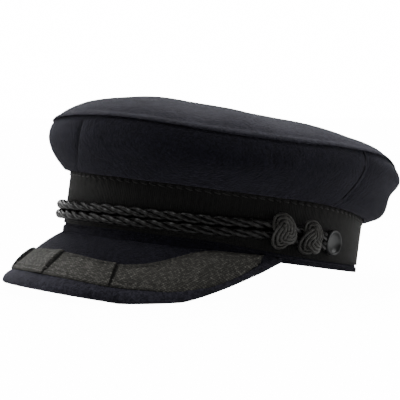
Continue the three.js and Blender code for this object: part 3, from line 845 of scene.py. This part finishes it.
def felt_on_piece(tree, fibre_scale, blotch_scale):
    """Shade and height of matted fibres on a piece."""
    place = add_node(tree, "ShaderNodeTexCoord").outputs["Object"]
    group = cloth_group("Felted fibres", ["Fibre Scale", "Blotch Scale"], felt_nodes)
    inputs = {"Vector": place, "Fibre Scale": fibre_scale, "Blotch Scale": blotch_scale}
    felt = add_node(tree, "ShaderNodeGroup", inputs, node_tree=group)
    return felt.outputs["Shade"], felt.outputs["Height"]


def wool_material(colours):
    """Felted wool, paler with painted light where a piece marks it, and darker with painted shade along its
    seams.
    """
    name = "navy_wool"
    if name in bpy.data.materials:
        return bpy.data.materials[name]
    material, tree, shader = start_material(name, 0.9, 0.1, 0.15, 0.4, (0.82, 0.81, 1.0))
    shade, height = felt_on_piece(tree, 1500, 120)
    plain_felt = mix(tree, shade, colours.wool_dark, colours.wool_light)
    # Painted light: paler tones of the felt, put where a piece marks light as falling on it
    painted_light = mix(tree, shade, colours.painted_lit_dark, colours.painted_lit_light)
    colour = mix(tree, attribute(tree, "painted_light"), plain_felt, painted_light)
    # Painted shade: the felt goes to its darker tone along the seams
    seam = math_node(tree, "MULTIPLY", math_node(tree, "POWER", attribute(tree, "seam"), 2.0), 0.9)
    dress_shader(tree, shader, mix(tree, seam, colour, colours.wool_dark), height, 0.85, 0.0011)
    return material


def woven_material(name, group, pitches, dark, light, roughness, sheen, strength):
    """Ribbon cloth on a piece's own UV map, turned black by painted shade where the cloth's fold value is
    high.
    """
    if name in bpy.data.materials:
        return bpy.data.materials[name]
    material, tree, shader = start_material(name, roughness, 0.15, sheen, 0.45, (1.0, 0.97, 0.9))
    place = add_node(tree, "ShaderNodeUVMap", uv_map="cloth").outputs[0]
    inputs = {socket: pitch * MM for socket, pitch in pitches.items()}
    weave = add_node(tree, "ShaderNodeGroup", {"Vector": place, **inputs}, node_tree=group)
    blotch = math_node(tree, "ADD", noise(tree, place, 60.0, 3.0), 0.5)
    colour = mix(tree, math_node(tree, "MULTIPLY", weave.outputs["Shade"], blotch), dark, light)
    # Painted shade: black where the piece marks shade in a fold
    colour = mix(tree, attribute(tree, "fold_shade"), colour, FOLD_SHADE_BLACK)
    dress_shader(tree, shader, colour, weave.outputs["Height"], strength, 0.0003)
    return material


def cord_material(name, dark, light, roughness, sheen):
    """Fine twisted yarn, black with painted shade in the grooves between its plies."""
    if name in bpy.data.materials:
        return bpy.data.materials[name]
    material, tree, shader = start_material(name, roughness, 0.35, sheen, 0.35, (1.0, 0.98, 0.93))
    shade, height = felt_on_piece(tree, 2600, 400)
    # Painted shade: black where the piece marks a groove or a strand's underside
    colour = mix(tree, attribute(tree, "groove_shade"), mix(tree, shade, dark, light), GROOVE_SHADE_BLACK)
    dress_shader(tree, shader, colour, height, 0.35, 0.0002)
    return material


def button_material(name, dark, light):
    """A dark, half glossy surface with faint clouds."""
    material, tree, shader = start_material(name, 0.33, 0.6)
    shader.inputs["Metallic"].default_value = 0.35
    place = add_node(tree, "ShaderNodeTexCoord").outputs["Object"]
    cloud = noise(tree, place, 420.0, 5.0, 0.6)
    tree.links.new(stretch(tree, cloud, 0.0, 1.0, 0.25, 0.45), shader.inputs["Roughness"])
    dress_shader(tree, shader, mix(tree, cloud, dark, light), cloud, 0.15, 0.0002)
    return material


def thread_finish(colours):
    return cord_material("ribbon_thread", colours.ribbon_dark, colours.cord_light, 0.5, 0.12)


def cord_finish(colours):
    return cord_material("black_cord", colours.cord_dark, colours.cord_light, 0.33, 0.02)


# Settings


def amount(name, description, default, **limits):
    return FloatProperty(name=name, description=description, default=default, **limits)


def tint(name, description, default):
    return FloatVectorProperty(name=name, description=description, default=default, subtype="COLOR")


class CapSizes(PropertyGroup):
    """Sizes that a user may change."""

    wrinkle_height: amount(
        "Wrinkle Height", "Height of the soft unevenness of the felt", 0.0009, min=0, unit="LENGTH",
    )
    wrinkle_size: amount("Wrinkle Size", "Width of the soft unevenness of the felt", 0.03, unit="LENGTH")
    stitch_length: amount("Stitch Length", "Length of one stitch, in millimetres", 2.0, min=0.5)
    stitch_pitch: amount("Stitch Pitch", "Distance from stitch to stitch, in millimetres", 3.4, min=1)
    thread_width: amount("Thread Width", "Thickness of the sewing thread, in millimetres", 0.45, min=0.1)
    pucker: amount("Pucker", "How far the stitched ribbon edge waves, in millimetres", 0.4, min=0)
    cord_pitch: amount("Cord Pitch", "Length in which a ply goes once round its cord", 0.032, unit="LENGTH")
    strand: amount("Knot Strand", "Thickness of one strand of a knot, in millimetres", 1.95, min=0.5)
    strands: IntProperty(
        name="Knot Strands", description="How many strands lie side by side in a knot",
        default=4, min=1, max=6,
    )


class CapColours(PropertyGroup):
    """Colours of the cloths, cords and buttons."""

    wool_dark: tint("Wool Dark", "Darker tone of the wool", (0.0011, 0.0011, 0.0021))
    wool_light: tint("Wool Light", "Lighter tone of the wool", (0.0089, 0.0086, 0.0160))
    # Tones of the painted light on the wool, on the crown's top, the peak's rim and the rear hem
    painted_lit_dark: tint("Painted Lit Wool Dark", "Darker tone of worn wool", (0.0080, 0.0078, 0.0112))
    painted_lit_light: tint("Painted Lit Wool Light", "Lighter tone of worn wool", (0.054, 0.0526, 0.0715))
    ribbon_dark: tint("Ribbon Dark", "Between the ribs", (0.0012, 0.0012, 0.0011))
    ribbon_light: tint("Ribbon Light", "Top of the ribs", (0.0070, 0.0069, 0.0063))
    peak_dark: tint("Peak Ribbon Dark", "Between the dashes", (0.015, 0.0147, 0.0132))
    peak_light: tint("Peak Ribbon Light", "Top of the dashes", (0.165, 0.161, 0.1445))
    cord_dark: tint("Cord Dark", "Darker tone of the cords", (0.0012, 0.00115, 0.001))
    cord_light: tint("Cord Light", "Lighter tone of the cords", (0.0068, 0.0063, 0.0052))
    knot_dark: tint("Knot Dark", "Darker tone of the knots", (0.009, 0.0088, 0.008))
    knot_light: tint("Knot Light", "Lighter tone of the knots", (0.075, 0.073, 0.066))
    thread_dark: tint("Thread Dark", "Darker tone of the peak's stitches", (0.03, 0.029, 0.026))
    thread_light: tint("Thread Light", "Lighter tone of the peak's stitches", (0.12, 0.117, 0.104))
    button_dark: tint("Button Dark", "Darker tone of the buttons", (0.022, 0.0232, 0.0232))
    button_light: tint("Button Light", "Lighter tone of the buttons", (0.056, 0.059, 0.059))


class CapStage(PropertyGroup):
    """Camera and light."""

    azimuth: amount("Azimuth", "Camera's direction round the cap, in degrees from the front", 53.033)
    elevation: amount("Elevation", "Camera's height angle, in degrees", 3.941)
    distance: amount("Distance", "Camera's distance", 0.9, unit="LENGTH")
    focal: amount("Focal Pixels", "Focal length in pixels of a picture 400 wide", 1363.85)
    floor_colour: tint("Floor", "Colour of the floor", (0.6, 0.6, 0.6))
    floor_glow: amount("Floor Glow", "Light added to the floor in the picture only", 14.0, min=0)
    back_light: amount("Back Light", "Strength of the high light behind", 5.6, min=0)
    top_light: amount("Top Light", "Strength of the light overhead", 2.2, min=0)
    left_light: amount("Left Light", "Strength of the low light at the left", 0.38, min=0)
    right_light: amount("Right Light", "Strength of the light at the right", 0.75, min=0)
    ambient: amount("Ambient", "Strength of the light from all around", 0.05, min=0)
    backdrop: amount("Backdrop", "Brightness of the backdrop in the picture", 16.0, min=0)


# Operators


class CAP_OT_crown(Operator):
    """Make the domed top and the four side panels"""

    bl_idname = "cap.crown"
    bl_label = "Crown"

    def execute(self, context):
        sizes = context.scene.cap_sizes
        material = wool_material(context.scene.cap_colours)
        for node in [name for name in frame["nodes"] if name.startswith("crown_")]:
            piece = copy_of(node, node + "_felt")
            subdivide_cloth(piece, 2, 0.3)
            points = to_cap(mesh_points(piece))
            if node == "crown_top":
                points = self.shape_top(piece, points)
            else:
                points = self.shape_panel(piece, points, PANEL_MIDDLES[node])
            put_points(piece, to_world(points))
            wrinkle(piece, sizes.wrinkle_size, sizes.wrinkle_height, node + "_clouds")
            finish_piece(piece, material, "wool", node)
        return {"FINISHED"}

    def shape_top(self, piece, points):
        """Lifts the front of the top, lets its middle slump and lays its rim on the panels."""
        radii = np.array([HALF_WIDTH, HALF_LENGTH]) + TOP_OVERHANG
        middle = ramp(np.linalg.norm(points[:, :2] / radii, axis=1), *TOP_MIDDLE_SHARE)
        front = ease(ramp(-points[:, 1], *TOP_FRONT))
        over = points[:, :2] @ DIAGONAL
        slump = sum(depth * hill(over, centre, width) for depth, centre, width in TOP_SLUMPS)
        points[:, 2] += (TOP_FRONT_LIFT * front - slump) * middle - TOP_DROP
        # Painted light: the whole top is paler, as if the light from above falls on it
        set_attribute(piece, "painted_light", np.full(len(points), TOP_PAINTED_LIGHT))
        return self.fill_rear(points, 1)

    def shape_panel(self, piece, points, middle):
        """Fills a side panel out, most where it sags at the rear, and draws it in along its seams."""
        turn, out, up = band_place(points)
        away = (turn - middle + 180) % 360 - 180
        above = up - edge_level(turn)
        below = np.interp(turn, EDGE_TURNS, SEAM_LEVELS) - up
        ends = self.seam_distance(away, up)
        rear = hill(np.abs(turn), *REAR_TURNS)
        out = out + REAR_SAG * rear * ramp(above, 0, 3) * hill(above, *REAR_SAG_PLACE)
        out = out + PANEL_FULLNESS * ramp(above, 0, 6) * ramp(below, 0, 12)
        out = out + REAR_RIM_FULLNESS * rear * hill(below, *REAR_RIM_PLACE)
        out = out - TOP_SEAM_DEPTH * hill(below, *TOP_SEAM_PLACE)
        out = out - SIDE_SEAM_DEPTH * hill(ends, *SIDE_SEAM_PLACE)
        turn = middle + away + SEAM_OVERLAP_DEGREES * away / np.abs(away).max()
        # Painted shade along the top seam and the side seams
        set_attribute(piece, "seam", ramp(np.minimum(0.8 * ends, below), *SEAM_SHADE))
        return self.fill_rear(band_point(turn, out, up), ramp(above, 0, 24))

    def seam_distance(self, away, up):
        """Millimetres to the nearer vertical seam, which may slant, from the panel's ends at each level."""
        levels = np.linspace(up.min(), up.max(), SEAM_LEVELS_READ)
        beside = [np.abs(up - level) < 1.3 for level in levels]
        low_end = np.interp(up, levels, [away[near].min() for near in beside])
        high_end = np.interp(up, levels, [away[near].max() for near in beside])
        return np.maximum(MM_IN_DEGREE * np.minimum(away - low_end, high_end - away) - 0.8, 0)

    def fill_rear(self, points, share):
        """Lifts the crown's soft rim at its rear, and moves it a little outward."""
        over = np.abs(points[:, 0]) * DIAGONAL[0] + points[:, 1] * DIAGONAL[1]
        rise = (ease(ramp(over, *REAR_RIM_START)) * share)[:, None]
        outward = points / [HALF_WIDTH, HALF_LENGTH, 1] * [1, 1, 0]
        outward /= np.maximum(np.linalg.norm(outward, axis=1, keepdims=True), 0.1)
        return points + rise * (REAR_RIM_SPREAD * outward + REAR_RIM_RISE)


class CAP_OT_band(Operator):
    """Make the band with its hem, the ribbed ribbon and the ribbon's stitches"""

    bl_idname = "cap.band"
    bl_label = "Band"

    def execute(self, context):
        sizes = context.scene.cap_sizes
        colours = context.scene.cap_colours
        band = copy_of("band", "band_felt")
        bevel_sharp(band, 0.7 * MM, 3, 30)
        bpy.ops.object.shade_smooth_by_angle(angle=math.radians(SMOOTH_DEGREES))
        turn, out, up = band_place(to_cap(mesh_points(band)))
        # Painted light on the rear hem: a highlight along its top edge and a paler rest
        over = up - hem_height(turn)
        hem = (out > HEM_FACE - 1) & (over < HEM_EDGE) & (np.abs(turn) > VISOR_TURN - 1)
        set_attribute(band, "painted_light", hem * (HEM_PAINTED_LIGHT + (1 - HEM_PAINTED_LIGHT) * (over > -HEM_EDGE)))
        finish_piece(band, wool_material(colours), "wool", "band")
        self.ribbon(sizes, colours)
        self.threads(colours)
        return {"FINISHED"}

    def ribbon(self, sizes, colours):
        ribbon = copy_of("band_ribbon", "band_ribbon_cloth")
        edit_all(ribbon)
        bpy.ops.mesh.subdivide(number_cuts=7)
        bpy.ops.object.mode_set(mode="OBJECT")
        turn, out, up = band_place(to_cap(mesh_points(ribbon)))
        bottom = hem_height(turn) + RIBBON_CLEARANCE
        depth = ramp(out, RIBBON_FACE, -RIBBON_THICKNESS)
        length = round_length(turn)
        wave = np.sin(2 * np.pi * length / PUCKER_WAVE + 1.4 * np.sin(length / PUCKER_SWAY))
        wave = wave * (0.7 + 0.3 * np.sin(length / PUCKER_SWELL))
        top = hill(up - edge_level(turn), *PUCKER_TOP)
        low = 0.35 * hill(up - bottom, *PUCKER_LOW)
        swell = sizes.pucker * (wave * (top + low) - 0.5 * top)
        face = RIBBON_FACE - RIBBON_THICKNESS * np.round(depth) + swell * (1 - depth)
        put_points(ribbon, to_world(band_point(turn, face, up)))
        set_uv(ribbon, length * MM, up * MM, ROUND_TOTAL * MM)
        activate(ribbon)
        bpy.ops.object.shade_smooth_by_angle(angle=math.radians(SMOOTH_DEGREES))
        pitches = {"Rib Pitch": 1.25, "Thread Pitch": 0.4}
        material = woven_material(
            "ribbed_ribbon", cloth_group("Ribbon ribs", pitches, rib_nodes), pitches,
            colours.ribbon_dark, colours.ribbon_light, 0.62, 0.05, 0.7,
        )
        finish_piece(ribbon, material, "band_ribbon", "band_ribbon")

    def threads(self, colours):
        turns = ROUND_TURNS[:-1]
        outward = np.c_[band_normal(turns), np.zeros(len(turns))]
        top = edge_level(turns)
        bottom = hem_height(turns) + RIBBON_CLEARANCE
        black = cord_material("seam_thread", colours.ribbon_dark, colours.ribbon_dark, 0.7, 0.0)
        rows = {
            "band_stitches_upper": (top - 0.7, UPPER_STITCHES, black),
            "band_puckers": (top - 1.9, UPPER_PUCKERS, thread_finish(colours)),
            "band_stitches_lower": (bottom + 1.1, LOWER_STITCHES, black),
        }
        for name, (level, row_sizes, material) in rows.items():
            points = band_point(turns, RIBBON_FACE + 0.1, level)
            finish_piece(spread_stitches(name, points, outward, *row_sizes), material, "cord")


class CAP_OT_visor(Operator):
    """Make the felt peak, its tucked ribbon and the ribbon's stitches"""

    bl_idname = "cap.visor"
    bl_label = "Peak"

    def execute(self, context):
        sizes = context.scene.cap_sizes
        colours = context.scene.cap_colours
        visor = copy_of("visor", "visor_felt")
        subdivide_cloth(visor, 2, 1.0)
        points = to_cap(mesh_points(visor))
        turn, across, height, normal = peak_places(points)[:4]
        # Painted light: the peak's outer rim is paler, as if lit from below, and half as strong on the
        # wearer's right, which the lamps light already
        sunny = 0.5 + 0.5 * ramp(turn, -14, 34)
        start, width = PEAK_PAINTED_LIGHT_SHARE
        painted_light = PEAK_PAINTED_LIGHT + 0.9 * (across - start) / width * sunny
        set_attribute(visor, "painted_light", np.clip(painted_light, PEAK_PAINTED_LIGHT, sunny))
        inside_edge = (1 - across) * visor_reach(turn)
        roll = PEAK_ROLL * hill(inside_edge, *PEAK_ROLL_PLACE) * ramp(height, -1, 1) * hill(turn, 0, 62, 6)
        points = points + peak_shift(turn, across) + normal * roll[:, None]
        put_points(visor, to_world(points))
        wrinkle(visor, sizes.wrinkle_size, 0.3 * sizes.wrinkle_height, "visor_clouds")
        points = mesh_points(visor)
        points[:, 2] = np.maximum(points[:, 2], FLOOR_CLEARANCE * MM)
        put_points(visor, points)
        finish_piece(visor, wool_material(colours), "wool", "visor")
        self.ribbon(colours)
        self.threads(sizes, colours)
        return {"FINISHED"}

    def ribbon(self, colours):
        ribbon = copy_of("visor_ribbon", "visor_ribbon_cloth")
        subdivide_cloth(ribbon, 3, 0.2)
        points = to_cap(mesh_points(ribbon))
        turn, across, height, normal, per_degree = peak_places(points)
        outer = np.interp(turn, PEAK_TURNS, PEAK_OUTER)
        inner = np.interp(turn, PEAK_TURNS, PEAK_INNER)
        inward = ramp(across, outer, inner - outer)
        crescent = np.sin(np.pi * np.clip(0.8 * inward + 0.02, 0, 1))
        lift = np.zeros(len(points))
        fold_shade = np.zeros(len(points))
        for at, skew, open_share in TUCKS:
            away = (turn - at - TUCK_SHIFT - skew * (1 - inward)) * per_degree
            gape = GAPE[0] + GAPE[1] * open_share * crescent
            flap = np.where(away < 0, hill(away, 0, FLAP_LENGTH), ramp(away, 0.5, -0.5))
            inside = np.clip(3 * (1 - np.abs(away - gape / 2 + 0.1) / (gape / 2 + 0.35)), 0, 1)
            lift += open_share * (FLAP_LIFT[0] + FLAP_LIFT[1] * crescent) * flap - 0.3 * inside
            # Painted shade in the gap under each tuck's flap
            fold_shade = np.maximum(fold_shade, inside * (0.6 + 0.4 * open_share) * np.clip(0.4 + 3 * crescent, 0, 1))
        under = ramp(height, VISOR_RIBBON_LIFT, RIBBON_THICKNESS)
        top = VISOR_RIBBON_LIFT + RIBBON_THICKNESS
        flat = np.where(height > top, top + 0.3 * (height - top), height)
        soft_edge = 0.5 * (hill(inward, 0, PEAK_RIBBON_SOFT_EDGE) + hill(inward, 1, PEAK_RIBBON_SOFT_EDGE))
        moved = flat - PEAK_RIBBON_SINK - soft_edge + np.where(lift < 0, lift * under, lift)
        spread = PEAK_RIBBON_SPREAD / np.maximum(visor_reach(turn), LEAST_REACH)
        spread = spread * ramp(np.abs(turn), *PEAK_RIBBON_SPREAD_TURNS)
        wider = np.minimum(across + spread * (1 - inward), 0.97)
        slide = visor_point(turn, wider) - visor_point(turn, across)
        points = points + slide + (moved - height)[:, None] * normal + peak_shift(turn, wider)
        put_points(ribbon, to_world(points))
        set_uv(ribbon, np.interp(turn, PEAK_TURNS, PEAK_LENGTHS) * MM, across * visor_reach(turn) * MM)
        # Painted shade along the ribbon's outer edge, along its inner stitch line and over the wearer's right
        # of the peak, kept with the tucks' painted shade
        width = np.interp(turn, PEAK_TURNS, PEAK_WIDTH)
        edge = 0.85 * hill(inward * width, 0, 0.8)
        needle = 0.6 * hill((1 - inward) * width, *NEEDLE_LINE)
        smooth = 0.6 * ramp(turn, *SIDE_SHADE_TURNS)
        set_attribute(ribbon, "fold_shade", np.max([fold_shade, smooth, edge, needle], axis=0))
        pitches = {"Dash Length": 2.0, "Row Pitch": 0.85}
        material = woven_material(
            "pebbled_ribbon", cloth_group("Pebbled weave", pitches, pebble_nodes), pitches,
            colours.peak_dark, colours.peak_light, 0.75, 0.02, 0.9,
        )
        finish_piece(ribbon, material, "peak_ribbon", "visor_ribbon")

    def threads(self, sizes, colours):
        turns = np.linspace(*THREAD_TURNS, 289)
        outer = np.interp(turns, PEAK_TURNS, PEAK_OUTER)
        inner = np.interp(turns, PEAK_TURNS, PEAK_INNER)
        width = np.interp(turns, PEAK_TURNS, PEAK_WIDTH)
        light = cord_material("peak_thread", colours.thread_dark, colours.thread_light, 0.5, 0.2)
        rows = [
            ("visor_stitches_outer", THREAD_INSETS[0], light),
            ("visor_stitches_second", THREAD_INSETS[1], light),
            ("visor_stitches_inner", width - THREAD_INSETS[0], cord_finish(colours)),
        ]
        thread = (sizes.stitch_length, sizes.thread_width, sizes.stitch_pitch)
        height = VISOR_RIBBON_LIFT + RIBBON_THICKNESS + THREAD_SEAT
        for name, inset, material in rows:
            across = outer - (outer - inner) * inset / width
            normals = visor_normal(turns, across)
            points = visor_point(turns, across) + normals * height + peak_shift(turns, across)
            finish_piece(spread_stitches(name, points, normals, *thread), material, "cord")


class CAP_OT_cords(Operator):
    """Make the two twisted cords along the front of the band"""

    bl_idname = "cap.cords"
    bl_label = "Cords"

    def execute(self, context):
        sizes = context.scene.cap_sizes
        material = cord_finish(context.scene.cap_colours)
        turns = np.linspace(-CORD_END_TURN, CORD_END_TURN, 241)
        outline = ply_outline(PLIES, CORD_DIAMETER / 2 + CORD_FULLNESS, YARN_RIPPLE, YARNS, 24)
        for column, node in enumerate(["cord_upper", "cord_lower"], start=1):
            up = between(CORD_ROUTE, column, np.abs(turns))
            path = to_world(band_point(turns, RIBBON_FACE + GAP + CORD_DIAMETER / 2, up))
            cord = twisted_rope(node + "_twist", outline, path, False, sizes.cord_pitch, 48)
            finish_piece(cord, material, "cord", node)
        return {"FINISHED"}


class CAP_OT_knots(Operator):
    """Make the woven knots, each of parallel strands in a closed path with three lobes"""

    bl_idname = "cap.knots"
    bl_label = "Knots"

    def execute(self, context):
        sizes = context.scene.cap_sizes
        colours = context.scene.cap_colours
        material = cord_material("knot_cord", colours.knot_dark, colours.knot_light, 0.42, 0.3)
        for side, side_name in [(1, "left"), (-1, "right")]:
            for place, knot in KNOTS.items():
                node = f"knot_{side_name}_{place}"
                self.weave(node, knot, side, sizes, material)
        return {"FINISHED"}

    def shade_gaps(self, woven, paths, sizes):
        """Marks the underside of the strands with painted shade, for the dark gaps between them."""
        centres = to_cap(np.concatenate(paths))
        points = to_cap(mesh_points(woven))
        rise = band_place(points)[1] - band_place(centres)[1][nearest_of(centres, points)]
        set_attribute(woven, "groove_shade", ramp(rise / (sizes.strand / 2), *STRAND_SHADE))

    def weave(self, node, knot, side, sizes, material):
        strands, paths = [], []
        count = sizes.strands
        round_turn = np.linspace(0, 2 * np.pi, 11)[:-1]
        outline = np.c_[np.cos(round_turn), np.sin(round_turn)] * sizes.strand / 2 * MM
        for k in range(count):
            offset = (k - (count - 1) / 2) * (sizes.strand + STRAND_GAP)
            path = to_world(knot_strand(knot, side, offset, sizes.strand))
            paths.append(path)
            strands.append(twisted_rope(f"{node}_strand_{k}", outline, path, True, STRAND_TWIST * MM, 12))
        bpy.ops.object.select_all(action="DESELECT")
        for strand in strands:
            strand.select_set(True)
        bpy.context.view_layer.objects.active = strands[0]
        bpy.ops.object.join()
        woven = bpy.context.object
        woven.name = node + "_woven"
        self.shade_gaps(woven, paths, sizes)
        finish_piece(woven, material, "cord", node)


def knot_strand(knot, side, offset, strand):
    """Points of one strand of a knot, in the cap's frame."""
    t = np.linspace(0, 2 * np.pi, 181)[:-1]
    lean = math.radians(knot["lean"])

    def centre(at):
        x = np.cos(at) + 2 * np.cos(2 * at)
        y = np.sin(at) - 2 * np.sin(2 * at)
        along = x * math.cos(lean) - y * math.sin(lean)
        up = x * math.sin(lean) + y * math.cos(lean)
        return np.stack([along * along_size, up * up_size], axis=1)

    half_bundle = 1.5 * (strand + STRAND_GAP) + strand / 2
    along_size = (KNOT_WIDE / 2 + KNOT_FULLNESS[0] - half_bundle) / LOBE_REACH
    up_size = (KNOT_TALL / 2 + KNOT_FULLNESS[1] - half_bundle) / LOBE_REACH
    ahead = centre(t + 0.01) - centre(t - 0.01)
    flat = centre(t) + offset * unit(np.stack([-ahead[:, 1], ahead[:, 0]], axis=1))
    for _ in range(LOBE_SMOOTHINGS):
        flat = 0.5 * flat + 0.25 * (np.roll(flat, 1, axis=0) + np.roll(flat, -1, axis=0))
    lift = 0.5 * (strand + 0.15) * np.clip(CROSSING_STEEPNESS * np.sin(3 * t), -1, 1)
    round_off = np.hypot(flat[:, 0] / (KNOT_WIDE / 2 + 1), flat[:, 1] / (KNOT_TALL / 2 + 1))
    dome = np.sqrt(np.clip(1 - round_off**DOME_POWER, 0, 1))
    highest = GAP + KNOT_DEEP - strand
    lowest = GAP + 0.6 * strand
    out = RIBBON_FACE + lowest + (highest - lowest) * dome + lift * (0.35 + 0.65 * dome)
    before, after = band_point(knot["turn"] + np.array([-0.5, 0.5]), RIBBON_FACE, 0)
    turn = knot["turn"] + flat[:, 0] / np.linalg.norm(after - before)
    return band_point(side * turn, out, knot["height"] + flat[:, 1])


class CAP_OT_buttons(Operator):
    """Make the dished side buttons with their raised rims"""

    bl_idname = "cap.buttons"
    bl_label = "Buttons"

    def execute(self, context):
        colours = context.scene.cap_colours
        material = button_material("dark_button", colours.button_dark, colours.button_light)
        first = self.turned_button()
        for side, side_name in [(1, "left"), (-1, "right")]:
            disc = bpy.data.objects.new(f"button_{side_name}_turned", first.data.copy())
            context.scene.collection.objects.link(disc)
            turn = side * BUTTON_TURN
            place = band_point(turn, RIBBON_FACE + GAP, BUTTON_HEIGHT)
            outward = directions_to_world(np.append(band_normal(turn), 0))
            upward = directions_to_world(np.array([0.0, 0.0, 1.0]))
            across = np.cross(upward, outward)
            axes = np.stack([across, upward, outward])
            put_points(disc, mesh_points(disc) @ axes + to_world(place))
            finish_piece(disc, material, "button", f"button_{side_name}")
        bpy.data.objects.remove(first)
        return {"FINISHED"}

    def turned_button(self):
        """A cylinder, dished on its top by insets, with rounded edges."""
        bpy.ops.object.select_all(action="DESELECT")
        depth = BUTTON_THICKNESS * MM
        bpy.ops.mesh.primitive_cylinder_add(
            vertices=48, radius=BUTTON_DIAMETER / 2 * MM, depth=depth, location=(0, 0, depth / 2),
        )
        bpy.ops.object.transform_apply()
        disc = bpy.context.object
        bpy.ops.object.mode_set(mode="EDIT")
        bpy.ops.mesh.select_mode(type="FACE")
        bpy.ops.mesh.select_all(action="DESELECT")
        bpy.ops.object.mode_set(mode="OBJECT")
        for polygon in disc.data.polygons:
            polygon.select = polygon.normal.z > 0.9
        bpy.ops.object.mode_set(mode="EDIT")
        for inset, rise in BUTTON_RINGS:
            bpy.ops.mesh.inset(thickness=inset * MM, depth=0)
            bpy.ops.transform.translate(value=(0, 0, rise * MM))
        bpy.ops.mesh.poke()
        bpy.ops.object.mode_set(mode="OBJECT")
        bevel_sharp(disc, 0.6 * MM, 2, 50)
        apply_modifier(disc, "SUBSURF", levels=1, render_levels=1)
        bpy.ops.object.shade_smooth()
        return disc


class CAP_OT_stage(Operator):
    """Make the floor, the lights and the camera"""

    bl_idname = "cap.stage"
    bl_label = "Stage"

    def execute(self, context):
        stage = context.scene.cap_stage
        bpy.ops.object.select_all(action="DESELECT")
        bpy.ops.mesh.primitive_circle_add(vertices=96, radius=12, fill_type="NGON")
        floor = context.object
        floor.name = "floor"
        material, tree, shader = start_material("pale_floor", 0.9, 0.1)
        shader.inputs["Base Color"].default_value = (*stage.floor_colour, 1)
        shader.inputs["Emission Color"].default_value = (1, 1, 1, 1)
        seen = add_node(tree, "ShaderNodeLightPath").outputs["Is Camera Ray"]
        glow = math_node(tree, "MULTIPLY", seen, stage.floor_glow)
        tree.links.new(glow, shader.inputs["Emission Strength"])
        floor.data.materials.append(material)
        self.lights(context, stage)
        self.camera(context, stage)
        return {"FINISHED"}

    def lights(self, context, stage):
        world = bpy.data.worlds.new("studio")
        world.use_nodes = True
        context.scene.world = world
        tree = world.node_tree
        background = tree.nodes["Background"]
        path = add_node(tree, "ShaderNodeLightPath").outputs["Is Camera Ray"]
        strength = stretch(tree, path, 0.0, 1.0, stage.ambient, stage.backdrop)
        background.inputs["Color"].default_value = (1, 1, 1, 1)
        tree.links.new(strength, background.inputs["Strength"])
        self.sun("light_back", (-0.72, 0.55, 0.95), stage.back_light, 45)
        self.sun("light_top", (-0.1, -0.33, 1.0), stage.top_light, 45)
        self.sun("light_left", (-0.97, -0.35, 0.35), stage.left_light, 30)
        self.sun("light_right", (0.45, 0.95, 0.6), stage.right_light, 35)

    def sun(self, name, direction, strength, angle):
        light = bpy.data.lights.new(name, "SUN")
        light.energy = strength
        light.angle = math.radians(angle)
        holder = bpy.data.objects.new(name, light)
        holder.rotation_euler = Vector(direction).to_track_quat("Z", "Y").to_euler()
        bpy.context.scene.collection.objects.link(holder)

    def camera(self, context, stage):
        azimuth, elevation = math.radians(stage.azimuth), math.radians(stage.elevation)
        level = math.cos(elevation)
        toward = Vector((math.sin(azimuth) * level, -math.cos(azimuth) * level, math.sin(elevation)))
        right = Vector((math.cos(azimuth), math.sin(azimuth), 0))
        up = toward.cross(right)
        target = (Vector((0, 0, AIM_HEIGHT)) + right * AIM_ASIDE + up * AIM_UP) * MM
        camera = bpy.data.cameras.new("camera")
        camera.sensor_width = SENSOR
        camera.lens = SENSOR * stage.focal / PICTURE
        camera.clip_start = 0.01
        camera.clip_end = 50
        holder = bpy.data.objects.new("camera", camera)
        axes = Matrix((right, up, toward)).transposed().to_4x4()
        holder.matrix_world = Matrix.Translation(target + toward * stage.distance) @ axes
        context.scene.collection.objects.link(holder)
        context.scene.camera = holder


class CAP_PT_panel(Panel):
    """Cap pieces in the 3D view's sidebar"""

    bl_idname = "CAP_PT_panel"
    bl_label = "Captain Cap"
    bl_space_type = "VIEW_3D"
    bl_region_type = "UI"
    bl_category = "Cap"

    def draw(self, context):
        layout = self.layout
        for operator in OPERATORS:
            layout.operator(operator.bl_idname)
        for settings in (context.scene.cap_sizes, context.scene.cap_colours, context.scene.cap_stage):
            box = layout.box()
            for name in settings.__annotations__:
                box.prop(settings, name)


OPERATORS = (
    CAP_OT_stage, CAP_OT_crown, CAP_OT_band, CAP_OT_visor, CAP_OT_cords, CAP_OT_knots, CAP_OT_buttons,
)
CLASSES = (CapSizes, CapColours, CapStage, *OPERATORS, CAP_PT_panel)


def register():
    for item in CLASSES:
        bpy.utils.register_class(item)
    bpy.types.Scene.cap_sizes = PointerProperty(type=CapSizes)
    bpy.types.Scene.cap_colours = PointerProperty(type=CapColours)
    bpy.types.Scene.cap_stage = PointerProperty(type=CapStage)


def unregister():
    del bpy.types.Scene.cap_sizes
    del bpy.types.Scene.cap_colours
    del bpy.types.Scene.cap_stage
    for item in reversed(CLASSES):
        bpy.utils.unregister_class(item)


def main():
    register()
    bpy.ops.cap.stage()
    bpy.ops.cap.crown()
    bpy.ops.cap.band()
    bpy.ops.cap.visor()
    bpy.ops.cap.cords()
    bpy.ops.cap.knots()
    bpy.ops.cap.buttons()


if __name__ == "__main__":
    main()
